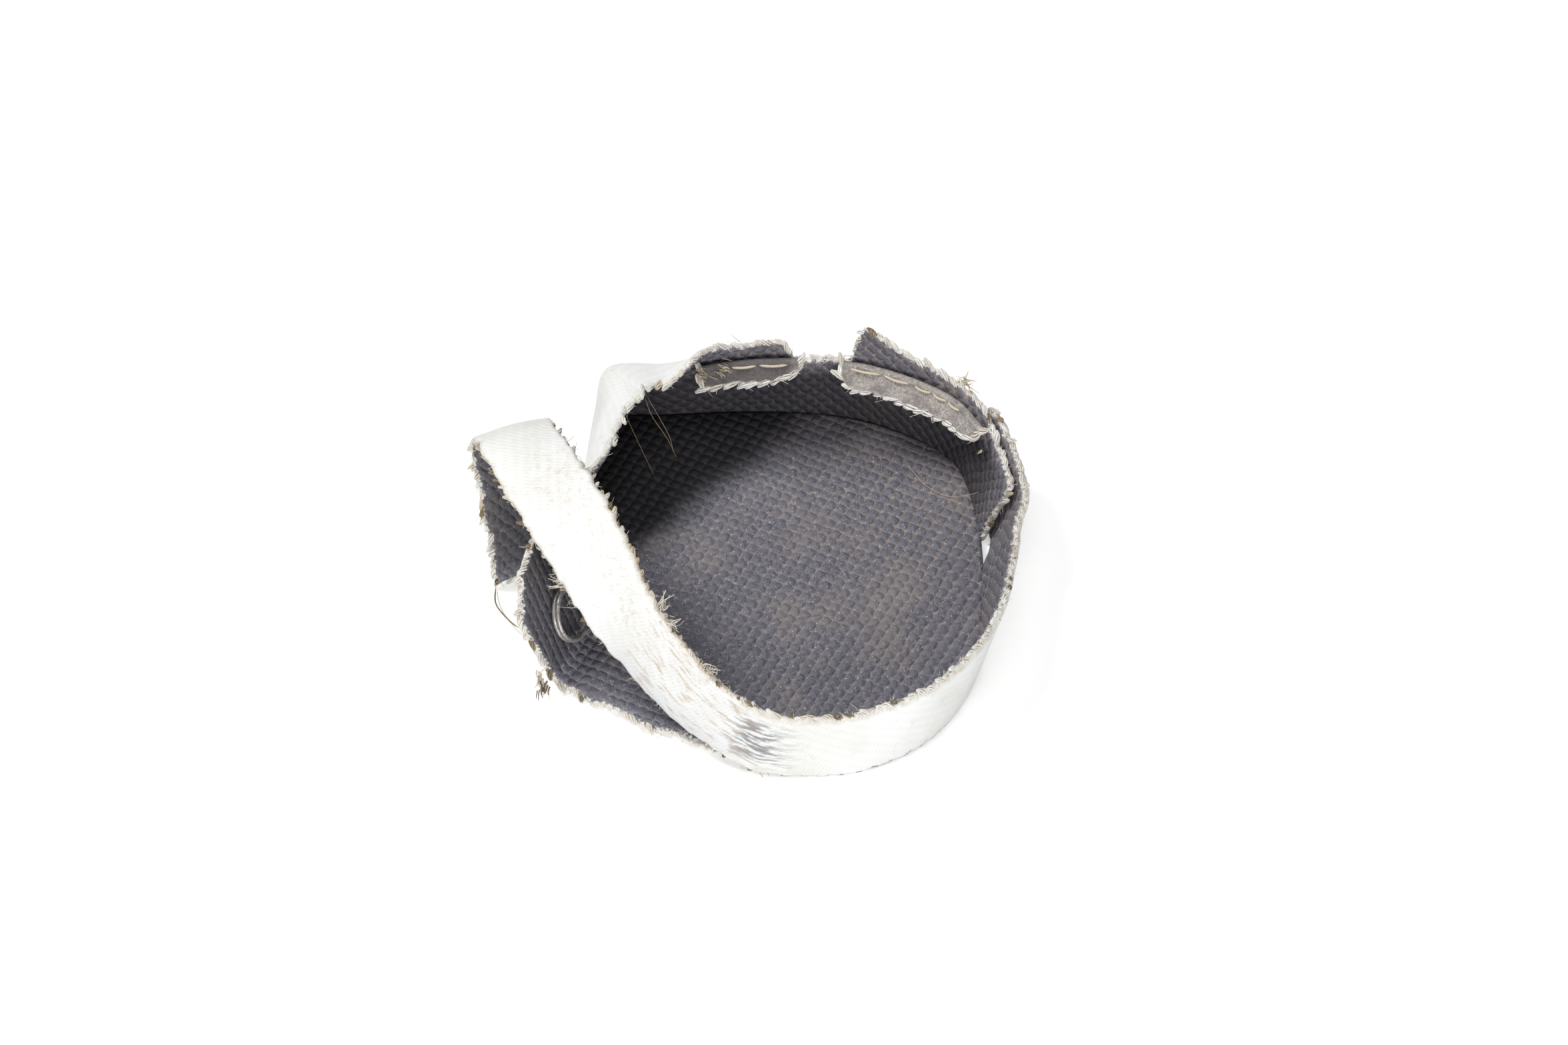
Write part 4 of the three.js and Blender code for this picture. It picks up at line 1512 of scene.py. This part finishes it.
class Tree:
    """A material's nodes, wired by short calls."""

    def __init__(self, name: str) -> None:
        """Starts a material that has only its output."""
        self.material = bpy.data.materials.new(name)
        self.material.use_nodes = True
        self.nodes = self.material.node_tree.nodes
        self.nodes.clear()
        self.output = self.nodes.new("ShaderNodeOutputMaterial")

    def put(self, socket: Socket, source: object) -> None:
        """Sets an input to a value or links it to an output."""
        if isinstance(source, Socket):
            self.material.node_tree.links.new(source, socket)
        else:
            socket.default_value = source

    def node(self, kind: str, settings: dict | None = None, **inputs: object) -> bpy.types.Node:
        """Adds a node.

        Args:
            kind: its type, without the leading ShaderNode.
            settings: its properties.
            inputs: its inputs by name, with an underscore for a space.

        Returns:
            The node.
        """
        made = self.nodes.new("ShaderNode" + kind)
        for key, value in (settings or {}).items():
            setattr(made, key, value)
        for key, value in inputs.items():
            self.put(made.inputs[key.replace("_", " ")], value)
        return made

    def math(self, operation: str, a: Source, b: Source = 0.0) -> Socket:
        """One arithmetic step."""
        made = self.nodes.new("ShaderNodeMath")
        made.operation = operation
        self.put(made.inputs[0], a)
        self.put(made.inputs[1], b)
        return made.outputs[0]

    def times(self, a: Source, b: Source) -> Socket:
        """The product of two values."""
        return self.math("MULTIPLY", a, b)

    def plus(self, a: Source, b: Source) -> Socket:
        """The sum of two values."""
        return self.math("ADD", a, b)

    def band(
        self, value: Source, low: float, high: float, to_low: float = 0.0, to_high: float = 1.0
    ) -> Socket:
        """Smooth step of a value from low to high."""
        made = self.node("MapRange", {"interpolation_type": "SMOOTHSTEP"})
        for name, number in (("From Min", low), ("From Max", high), ("To Min", to_low), ("To Max", to_high)):
            made.inputs[name].default_value = number
        self.put(made.inputs["Value"], value)
        return made.outputs["Result"]

    def noise(self, vector: Socket, scale: float, detail: float = 3.0, rough: float = 0.55) -> Socket:
        """Fractal noise from 0 to 1."""
        made = self.node("TexNoise", None, Vector=vector, Scale=scale, Detail=detail, Roughness=rough)
        return made.outputs["Fac"]

    def over(self, base: Source | tuple, tone: Tone, *shares: Source) -> Socket:
        """Lays a colour over another one.

        Args:
            base: the colour below.
            tone: the colour on top.
            shares: how much of it is laid on, as the product of these.

        Returns:
            The colour.
        """
        share = shares[0]
        for factor in shares[1:]:
            share = self.times(share, factor)
        return self.mix(share, base, tone.linear)

    def split(self, vector: Socket) -> tuple[Socket, Socket, Socket]:
        """The three numbers of a vector."""
        return tuple(self.node("SeparateXYZ", None, Vector=vector).outputs)

    def wave(self, value: Source, pitch: float) -> Socket:
        """sin(2 pi value / pitch)."""
        return self.math("SINE", self.times(value, 2 * math.pi / pitch))

    def dots(self, place: Socket, scale: float, size: float, rare: float) -> Socket:
        """Small soft dots at random.

        Args:
            place: where they are.
            scale: how many there could be in a mm.
            size: their radius as a share of their spacing.
            rare: share of them that is left out.

        Returns:
            1 in the middle of a dot and 0 between the dots.
        """
        cells = self.node("TexVoronoi", {"feature": "F1"}, Vector=place, Scale=scale)
        chosen = self.node("SeparateColor", None, Color=cells.outputs["Color"]).outputs[0]
        near = self.band(cells.outputs["Distance"], size, size * 0.5)
        return self.times(near, self.band(chosen, rare, rare + 0.1))

    def within(self, value: Source, low: float, high: float, soft: float) -> Socket:
        """1 between low and high, with soft ends of twice the softness."""
        rise = self.band(value, low - soft, low + soft)
        return self.times(rise, self.band(value, high + soft, high - soft))

    def mix(self, share: Source, first: object, second: object) -> Socket:
        """Blends two colours."""
        made = self.node("Mix", {"data_type": "RGBA"})
        self.put(made.inputs["Factor"], share)
        self.put(made.inputs[6], first)
        self.put(made.inputs[7], second)
        return made.outputs[2]

    def place(self) -> Socket:
        """Object coordinates in mm."""
        coordinate = self.node("TexCoord").outputs["Object"]
        return self.node("VectorMath", {"operation": "SCALE"}, Vector=coordinate, Scale=1000.0).outputs[0]

    def cloth(self, turn: float) -> Socket:
        """Places in the flat cloth, in mm, turned by some degrees."""
        flat = self.node("UVMap", {"uv_map": "cloth"}).outputs["UV"]
        made = self.node("Mapping", {"vector_type": "TEXTURE"}, Vector=flat)
        made.inputs["Rotation"].default_value = (0, 0, math.radians(turn))
        return made.outputs["Vector"]

    def attribute(self, name: str) -> Socket:
        """A number stored on the mesh."""
        return self.node("Attribute", {"attribute_name": name}).outputs["Fac"]

    def wobble(self, vector: Socket, scale: float, amount: float) -> Socket:
        """Moves places about by soft noise, as uneven yarns do."""
        made = self.node("TexNoise", None, Vector=vector, Scale=scale, Detail=1.0)
        centred = self.node("VectorMath", {"operation": "SUBTRACT"}, Vector=made.outputs["Color"])
        centred.inputs[1].default_value = (0.5, 0.5, 0.5)
        pushed = self.node("VectorMath", {"operation": "SCALE"}, Vector=centred.outputs[0], Scale=amount)
        total = self.node("VectorMath", {"operation": "ADD"}, Vector=vector)
        self.put(total.inputs[1], pushed.outputs[0])
        return total.outputs[0]

    def weave(self, flat: Socket, pitch: float) -> Socket:
        """Plain weave: |c|^DOME with c = cos(pi x / p) cos(pi y / p), lower where c < 0.

        Args:
            flat: places in the cloth with the yarns along x and y.
            pitch: yarn spacing.

        Returns:
            The height, from 0 to 1.
        """
        split = self.node("SeparateXYZ", None, Vector=flat)
        turns = [self.math("COSINE", self.times(split.outputs[k], math.pi / pitch)) for k in (0, 1)]
        c = self.times(turns[0], turns[1])
        dome = self.math("POWER", self.math("ABSOLUTE", c), DOME)
        return self.times(dome, self.band(c, -0.1, 0.1, LOW_YARN, 1.0))

    def bump(self, height: Source, depth: float, under: Socket | None = None) -> Socket:
        """Relief of some mm for a height of 1, on top of another relief if there is one."""
        made = self.node("Bump", None, Height=height, Strength=1.0, Distance=depth * MM)
        if under is not None:
            self.put(made.inputs["Normal"], under)
        return made.outputs["Normal"]

    def surface(self, **inputs: object) -> Material:
        """Closes the tree with a principled shader.

        Args:
            inputs: its inputs by name, with an underscore for a space.

        Returns:
            The material.
        """
        shader = self.node("BsdfPrincipled", None, **inputs)
        self.put(self.output.inputs["Surface"], shader.outputs["BSDF"])
        return self.material


@dataclass(frozen=True)
class DarkFace:
    """Inner face: charcoal coating over plain weave, dusty and flecked, with painted light, shade and shadow.

    Args:
        name: the material's name.
        turn: the yarns' turn in the cloth, in degrees.
        pitch: yarn spacing in mm.
        relief: depth of the weave in mm.
        grit: depth of the grain in mm.
        flecks: scale, size and rarity of each set of pale flecks.
        floor_shadow: whether the floor's left back gets the painted shadow of the leaning wall; else the back
            wall's foot gets painted shade.
        shadow_reach: where the painted shadow starts and where it is full, in mm towards the left back.
        left_back: that direction, as shares of X and Y.
        far: the same for the shade at the back of the floor, in mm along +Y.
        foot: the same for the wall's dark foot, in mm along Z and along Y.
        dusty: the same for the dusty grooves, in mm along X and along Y.
        tongue: the same for the painted shade on the tongue's raised side, in mm along X and along Z.
        grain, uneven: scale, detail and roughness of the grain's and of the patches' noise.
        lit_share, groove: how strongly the painted lit copy of the coating is laid on, and the heights where
            a groove starts and is full.
        tatter: scale, detail and reach of the bare yarn's ragged border.
    """

    name: str = "dark_coated_weave"
    turn: float = -27.0
    pitch: float = YARN
    relief: float = 0.3
    grit: float = 0.05
    flecks: tuple[tuple[float, float, float], ...] = ((1.5, 0.17, 0.62), (3.1, 0.26, 0.7))
    floor_shadow: bool = True
    shadow_reach: Span = (13.6, 19.5)
    left_back: Span = (-0.72, 0.69)
    far: Span = (16.0, 24.5)
    foot: tuple[Span, Span] = ((9.4, 7.0), (6.0, 15.0))
    dusty: tuple[Span, Span] = ((-16.0, 20.0), (-14.0, 14.0))
    tongue: tuple[Span, Span] = ((-19.0, -24.0), (1.4, 3.0))
    grain: tuple[float, float, float] = (9.0, 4.0, 0.65)
    uneven: tuple[float, float, float] = (0.8, 3.0, 0.6)
    lit_share: float = 0.6
    groove: Span = (0.48, 0.05)
    tatter: tuple[float, float, float] = (2.2, 3.0, 1.1)

    def build(self) -> Material:
        """The material."""
        tree = Tree(self.name)
        place = tree.place()
        x, y, z = tree.split(place)
        flat = tree.wobble(tree.wobble(tree.cloth(self.turn), 0.28, 0.6), 1.1, 0.45)
        height = tree.weave(flat, self.pitch)
        grain = tree.noise(place, *self.grain)
        uneven = tree.noise(place, *self.uneven)
        dusty = tree.times(tree.band(x, *self.dusty[0]), tree.band(y, *self.dusty[1]))
        groove = tree.mix(dusty, Tone.GROOVE.linear, Tone.DUSTY_GROOVE.linear)
        hollow = tree.times(tree.band(height, *self.groove), tree.band(grain, 0.3, 0.62))
        hollow = tree.times(hollow, tree.band(uneven, 0.34, 0.6, 0.1, 1.0))
        # painted light: the lit copy of the coating laid on in fine noise patches
        base = tree.over(Tone.COATING.linear, Tone.LIT_COATING, tree.band(grain, 0.35, 0.7), self.lit_share)
        base = tree.mix(hollow, base, groove)
        base = tree.over(base, Tone.DUST, tree.band(tree.noise(place, 0.11, 3.0), 0.45, 0.72), 0.4)
        for scale, size, rare in self.flecks:
            base = tree.over(base, Tone.FLECK, tree.dots(place, scale, size, rare), 0.85)
        # painted shade on the tongue's raised side
        tongue_shade = tree.band(x, *self.tongue[0]), tree.band(z, *self.tongue[1])
        base = tree.over(base, Tone.TONGUE_SHADE, *tongue_shade, 0.5)
        # painted shadow of the leaning left back wall on the floor, and painted shade at the floor's back;
        # else painted shade low on the wall
        if self.floor_shadow:
            away = tree.plus(tree.times(x, self.left_back[0]), tree.times(y, self.left_back[1]))
            ragged = tree.plus(away, tree.times(tree.noise(place, 0.35), 3.0))
            base = tree.over(base, Tone.LEFT_BACK_SHADOW, tree.band(ragged, *self.shadow_reach), 0.94)
            back = tree.plus(y, tree.times(uneven, 4.0))
            base = tree.over(base, Tone.BACK_SHADE, tree.band(back, *self.far), 0.5)
        else:
            dark = tree.band(z, *self.foot[0]), tree.band(y, *self.foot[1])
            base = tree.over(base, Tone.WALL_SHADE, *dark, 0.8)
        scale, detail, reach = self.tatter
        tatter = tree.plus(tree.attribute("rim"), tree.times(tree.noise(place, scale, detail), reach))
        worn = tree.band(tree.plus(tatter, tree.times(grain, 0.4)), 0.95, 0.75)
        base = tree.over(base, Tone.BARE_YARN, worn)
        relief = tree.bump(grain, self.grit, tree.bump(height, self.relief))
        rough = tree.band(grain, 0.2, 0.8, 0.48, 0.75)
        return tree.surface(Base_Color=base, Roughness=rough, Normal=relief, Specular_IOR_Level=0.42)


@dataclass(frozen=True)
class Smudge:
    """One stain on the band's outer face, in strokes or in grains.

    Args:
        tone: its colour.
        run, across: where it lies along and across the band, and how softly it ends, in mm.
        strokes: the noise where it starts to show and where it is full.
        share: how strongly it covers.
        grainy: whether it is speckle.
    """

    tone: Tone
    run: tuple[float, float, float]
    across: tuple[float, float, float] | None
    strokes: Span
    share: float
    grainy: bool = False


@dataclass(frozen=True)
class PaleFace:
    """Outer face: white cloth of fine satin weave, stained and scuffed, with painted shade in its furrows
    and, on the band, along the strap's edge.

    Args:
        name: the material's name.
        turn: the ridges' turn in the cloth, in degrees.
        ridge: spacing of the fine ridges in mm.
        relief: their depth in mm.
        smudges: the band's stains, from the first to the last laid on.
        edge_shade: where the painted shade lies along the strap's edge, and how softly this ends, in mm.
    """

    name: str = "pale_satin_face"
    turn: float = 28.0
    ridge: float = 0.42
    relief: float = 0.02
    smudges: tuple[Smudge, ...] = ()
    edge_shade: tuple[float, float, float] = (68.0, 84.0, 4.0)

    def build(self) -> Material:
        """The material."""
        tree = Tree(self.name)
        place = tree.place()
        along_yarn, across_yarn, _ = tree.split(tree.wobble(tree.cloth(self.turn), 0.5, 0.35))
        ridges = tree.times(tree.wave(along_yarn, self.ridge), 0.35)
        twill = tree.plus(ridges, tree.times(tree.wave(across_yarn, YARN), 0.15))
        fine = tree.noise(place, 6.0, 4.0, 0.6)
        height = tree.plus(tree.plus(twill, 0.5), tree.times(fine, 0.5))
        broad = tree.band(tree.noise(place, 0.13, 3.0), 0.35, 0.7)
        base = tree.over(Tone.WHITE.linear, Tone.OFF_WHITE, broad)
        # painted shade in the furrows between the ridges
        base = tree.over(base, Tone.FURROW_SHADE, tree.band(twill, -0.1, -0.45), 0.25)
        patchy = tree.band(tree.noise(place, 0.55, 4.0, 0.7), 0.56, 0.72)
        base = tree.over(base, Tone.STAIN, patchy, tree.band(fine, 0.42, 0.6), 0.5)
        edge = tree.plus(tree.attribute("rim"), tree.times(tree.noise(place, 1.6, 3.0), 1.2))
        base = tree.over(base, Tone.TAN_EDGE, tree.band(edge, 1.3, 0.7), 0.3)
        if self.smudges:
            base = self._smudges(tree, base)
        return tree.surface(
            Base_Color=base, Roughness=0.62, Normal=tree.bump(height, self.relief), Specular_IOR_Level=0.3
        )

    def _smudges(self, tree: Tree, base: Socket) -> Socket:
        """Dark scuffed patch, brown streaks and tan speckle where the band turns up into the strap, and
        painted shade along the strap's edge.

        Args:
            tree: the material's nodes.
            base: the colour so far.

        Returns:
            The colour with the smudges.
        """
        cloth = tree.cloth(0.0)
        run, across, _ = tree.split(cloth)
        stretched = tree.node("Mapping", None, Vector=cloth)
        stretched.inputs["Scale"].default_value = (0.35, 1.6, 1.0)
        strokes = tree.noise(stretched.outputs["Vector"], 1.1, 3.0, 0.6)
        grains = tree.noise(cloth, 1.3, 4.0, 0.75)
        for smudge in self.smudges:
            area = tree.within(run, *smudge.run)
            if smudge.across:
                area = tree.times(area, tree.within(across, *smudge.across))
            marks = tree.band(grains if smudge.grainy else strokes, *smudge.strokes)
            base = tree.over(base, smudge.tone, area, marks, smudge.share)
        # painted shade along one edge of the strap where it curves away from the light
        return tree.over(base, Tone.STRAP_EDGE_SHADE, tree.within(run, *self.edge_shade), tree.band(across, 4.5, 0.5), 0.45)


BAND_SMUDGES = (
    Smudge(Tone.SMUDGE, (62.6, 67.2, 1.2), (2.2, 8.2, 1.0), (0.4, 0.58), 0.85),
    Smudge(Tone.FADED_SMUDGE, (60.5, 68.5, 2.0), (1.0, 9.2, 1.0), (0.46, 0.6), 0.4),
    Smudge(Tone.STREAK, (65.0, 82.0, 3.0), None, (0.5, 0.66), 0.6),
    Smudge(Tone.SPECKLE, (80.0, 108.0, 5.0), (4.0, 9.5, 2.0), (0.5, 0.66), 0.45, grainy=True),
)


@dataclass(frozen=True)
class WornFace:
    """Seam strips: matted grey-brown facing, darker on the left one."""

    name: str = "worn_facing"
    relief: float = 0.12

    def build(self) -> Material:
        """The material."""
        tree = Tree(self.name)
        place = tree.place()
        grain = tree.noise(place, 5.0, 5.0, 0.7)
        base = tree.over(Tone.MATTED.linear, Tone.FLUFF, tree.band(grain, 0.3, 0.7))
        base = tree.over(base, Tone.GREASE, tree.band(tree.noise(place, 0.6, 3.0), 0.45, 0.7), 0.55)
        base = tree.over(base, Tone.SOILED, tree.band(tree.split(place)[0], 4.0, 0.5), 0.75)
        worn = tree.band(tree.plus(tree.attribute("rim"), tree.times(grain, 0.6)), 0.6, 0.35)
        base = tree.over(base, Tone.STRIP_EDGE, worn)
        relief = tree.bump(grain, self.relief)
        return tree.surface(Base_Color=base, Roughness=0.9, Normal=relief, Specular_IOR_Level=0.25)


@dataclass(frozen=True)
class Yarn:
    """Glass yarn, by the attribute shade: white at 0, cream, straw, and sooted at 1."""

    name: str = "glass_yarn"
    between: tuple[tuple[float, Tone], ...] = ((0.35, Tone.YARN_CREAM), (0.6, Tone.YARN_STRAW))
    relief: float = 0.04

    def build(self) -> Material:
        """The material."""
        tree = Tree(self.name)
        ramp = tree.node("ValToRGB", None, Fac=tree.attribute("shade")).color_ramp
        source = tree.nodes["Color Ramp"].outputs["Color"]
        ramp.elements[0].color = Tone.YARN_WHITE.linear
        ramp.elements[1].color = Tone.YARN_SOOT.linear
        for stop, tone in self.between:
            ramp.elements.new(stop).color = tone.linear
        mottle = tree.noise(tree.place(), 4.0, 3.0)
        base = tree.over(source, Tone.YARN_DIRT, tree.band(mottle, 0.5, 0.75), 0.2)
        relief = tree.bump(tree.noise(tree.place(), 14.0, 2.0), self.relief)
        return tree.surface(Base_Color=base, Roughness=0.7, Normal=relief, Specular_IOR_Level=0.3)


@dataclass(frozen=True)
class Steel:
    """Dull drawn wire."""

    name: str = "dull_steel_wire"

    def build(self) -> Material:
        """The material."""
        tree = Tree(self.name)
        place = tree.place()
        drawn = tree.noise(place, 3.0, 4.0, 0.7)
        base = tree.over(Tone.STEEL.linear, Tone.DULL_STEEL, tree.band(drawn, 0.35, 0.7))
        rough = tree.band(drawn, 0.3, 0.8, 0.34, 0.52)
        return tree.surface(Base_Color=base, Metallic=0.55, Roughness=rough, Normal=tree.bump(drawn, 0.01))


@dataclass(frozen=True)
class Lamp:
    """A square soft lamp aimed at the origin: its place and side in mm, and its power in watts."""

    name: str
    at: tuple[float, float, float]
    side: float
    power: float

    def light(self) -> None:
        """Puts the lamp into the scene."""
        data = bpy.data.lights.new(self.name, "AREA")
        data.energy = self.power
        data.size = self.side * MM
        piece = bpy.data.objects.new(self.name, data)
        piece.location = Vector(self.at) * MM
        piece.rotation_euler = (-Vector(self.at)).to_track_quat("-Z", "Y").to_euler()
        bpy.context.scene.collection.objects.link(piece)


@dataclass(frozen=True)
class Studio:
    """White table, soft lamps and the camera at the photograph's angle.

    Args:
        elevation: the camera's height over the table, in degrees.
        distance: from the camera to its aim, in mm.
        aim: the point that the camera looks at, in mm.
        lens, sensor: focal length and width of the sensor, in mm.
        table_half: half the table's side, in mm.
        table_drop: how far the table lies under the part, in mm.
        table_glow: light that the table sends out to the camera only.
        world: strength of the even light all round.
        lamps: the lamps.
    """

    elevation: float = 48.0
    distance: float = 904.0
    aim: tuple[float, float, float] = (0.9, 10.7, 0.0)
    lens: float = 180.0
    sensor: float = 36.0
    table_half: float = 2500.0
    table_drop: float = 0.02
    table_glow: float = 0.44
    world: float = 0.15
    lamps: tuple[Lamp, ...] = (
        Lamp("key", (-760, 420, 1050), 420, 10.9),
        Lamp("front", (150, -1250, 330), 800, 13.0),
        Lamp("top", (60, -150, 1400), 900, 5.4),
    )

    def build(self) -> None:
        """Places everything that isn't part of the object."""
        self._table()
        self._camera()
        for lamp in self.lamps:
            lamp.light()
        self._surroundings()

    def _camera(self) -> None:
        """Camera at azimuth 0, looking down at the elevation."""
        data = bpy.data.cameras.new("camera")
        data.lens = self.lens
        data.sensor_width = self.sensor
        data.clip_end = 50.0
        piece = bpy.data.objects.new("camera", data)
        turn = math.radians(self.elevation)
        back = Vector((0, -math.cos(turn), math.sin(turn)))
        piece.location = (Vector(self.aim) + back * self.distance) * MM
        piece.rotation_euler = (math.pi / 2 - turn, 0, 0)
        bpy.context.scene.collection.objects.link(piece)
        bpy.context.scene.camera = piece

    def _table(self) -> None:
        """The pale floor, a little under the object, white to the camera but for its shadow."""
        tree = Tree("white_table")
        ray = tree.node("LightPath")
        seen = ray.outputs["Is Camera Ray"]
        for name in ("Is Glossy Ray", "Is Transmission Ray"):
            seen = tree.math("MAXIMUM", seen, ray.outputs[name])
        plain = tree.node("BsdfDiffuse", None, Color=Tone.TABLE.linear)
        glow = tree.node("Emission", None, Color=(1, 1, 1, 1), Strength=tree.times(seen, self.table_glow))
        total = tree.node("AddShader")
        tree.put(total.inputs[0], plain.outputs[0])
        tree.put(total.inputs[1], glow.outputs[0])
        tree.put(tree.output.inputs["Surface"], total.outputs[0])
        corners = np.array([[-1, -1, 0], [1, -1, 0], [1, 1, 0], [-1, 1, 0]])
        places = corners * self.table_half - np.array([0, 0, self.table_drop])
        make_object("table", places, [[0, 1, 2, 3]], [tree.material])

    def _surroundings(self) -> None:
        """Even pale light all round, white where the camera sees it."""
        world = bpy.data.worlds.new("studio")
        bpy.context.scene.world = world
        world.use_nodes = True
        nodes, links = world.node_tree.nodes, world.node_tree.links
        nodes.clear()
        out = nodes.new("ShaderNodeOutputWorld")
        sky = nodes.new("ShaderNodeBackground")
        sky.inputs["Color"].default_value = (1, 1, 1, 1)
        ray = nodes.new("ShaderNodeLightPath")
        step = nodes.new("ShaderNodeMapRange")
        step.inputs["To Min"].default_value = self.world
        step.inputs["To Max"].default_value = 1.0
        links.new(ray.outputs["Is Camera Ray"], step.inputs["Value"])
        links.new(step.outputs["Result"], sky.inputs["Strength"])
        links.new(sky.outputs["Background"], out.inputs["Surface"])


def dress(piece: Piece, slot: str, *nodes: str) -> Piece:
    """Rides a piece on the part and hides what it stands for.

    Args:
        piece: the new piece.
        slot: the record's material slot; not used.
        nodes: CAD nodes that it replaces.

    Returns:
        The piece.
    """
    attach(piece, "root")
    if nodes:
        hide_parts(*nodes)
    log.info("%s: %d faces", piece.name, len(piece.data.polygons))
    return piece


def build_strips(wall: BackWall, worn: Material) -> tuple[list[SeamStrip], list[Piece]]:
    """Builds both seam strips.

    Args:
        wall: the back wall that they are sewn to.
        worn: their finish.

    Returns:
        The strips' shapes and their pieces.
    """
    right = ((33, 2.2), (40, 3.0), (60, 3.2), (70, 3.2), (74, 2.0))
    left = ((84, 1.2), (88, 2.4), (96, 2.9), (108, 2.8))
    strips = [SeamStrip("right_strip", 33.5, 74, right), SeamStrip("left_strip", 84, 108, left)]
    maker = ShellMaker(thickness=0.9, rim=0.4, relief=0.05)
    pieces = []
    for strip, node in zip(strips, ("seam_strip_right", "seam_strip_left")):
        piece = maker.make(strip.name, strip.shape(wall), worn, worn)
        pieces.append(dress(piece, "worn_cloth", node))
    return strips, pieces


def band_fringe(band: Sheet, rope: Fray) -> list[Tubes]:
    """Yarn ends of the band: roped on the wall's rim, ragged on the strap, fine at the foot.

    Args:
        band: the band's sheet, whose low border is the wall's rim and the strap's right edge.
        rope: the fringe of the wall's rim.

    Returns:
        The yarns as sets of tubes.
    """
    ragged = Fray(angle=50, length=1.1, thick=0.2, strand=0.1, cream=0.34, dirt=0.22, uneven=0.4)
    fine = Fray(length=0.9, thick=0.14, strand=0.08, angle=20, sink=0.2, cream=0.4, dirt=0.4)
    low, high = band.border(Side.LOW), band.border(Side.HIGH)
    return [
        *rope.parts([low.part(0.0, 0.52), high.part(0.87, 1.0), band.border(Side.LAST)], SEED),
        *ragged.parts([low.part(0.5, 1.0), high.part(0.48, 0.88)], SEED + 1),
        *fine.parts([high.part(0.0, 0.48), band.border(Side.FIRST)], SEED + 2),
    ]


def build_shield() -> None:
    """Builds the cloth pieces, their frayed edges, the threads and the ring."""
    yarn, worn = Yarn().build(), WornFace().build()
    floor_dark = DarkFace().build()
    wall_dark = DarkFace("dark_coated_weave_wall", turn=40.0, floor_shadow=False).build()
    pale, band_pale = PaleFace().build(), PaleFace("pale_satin_band", smudges=BAND_SMUDGES).build()

    wall, band, floor = BackWall(), WallBand(), FloorPanel()
    wall_piece = ShellMaker(turn=40.0).make("back_wall_cloth", wall.shape(), wall_dark, pale)
    dress(wall_piece, "pale_cloth", "back_wall")
    band_piece = ShellMaker(turn=40.0).make("band_cloth", band.shape(), wall_dark, band_pale)
    dress(band_piece, "pale_cloth", "wall_band")
    floor_piece = ShellMaker().make("floor_cloth", floor.shape(wall), floor_dark, pale)
    dress(floor_piece, "dark_cloth", "floor_panel")
    strips, strip_pieces = build_strips(wall, worn)

    rope = Fray(dirt=0.07, cream=0.1)
    twisted = Fray(length=1.9, thick=0.3, strand=0.14, angle=22, sink=0.1, dirt=0.02, cream=0.04)
    band_fray = join_tubes("band_fray", band_fringe(band.sheet, rope), yarn)
    wall_edges = [wall.sheet.border(side) for side in (Side.HIGH, Side.FIRST, Side.LAST)]
    wall_fray = rope.make("wall_fray", wall_edges, SEED + 3, yarn)
    floor_fray = rope.make("floor_fray", [floor.open_edge()], SEED + 4, yarn)
    strip_edges = [strip.sheet.border(side) for strip in strips for side in (Side.LOW, Side.FIRST, Side.LAST)]
    strip_fray = twisted.make("strip_fray", strip_edges, SEED + 5, yarn)
    stitches = Stitching().make(wall, yarn)
    threads = LooseThreads().make(band, yarn)
    for piece in (band_fray, wall_fray, floor_fray, strip_fray, stitches, threads):
        dress(piece, "pale_cloth")

    ring = SplitRing().make(floor, Steel().build())
    dress(ring, "steel", "split_ring")


def main() -> None:
    """Loads the frame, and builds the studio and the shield."""
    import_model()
    bpy.context.scene.view_settings.view_transform = "Standard"
    Studio().build()
    build_shield()


if __name__ == "__main__":
    main()
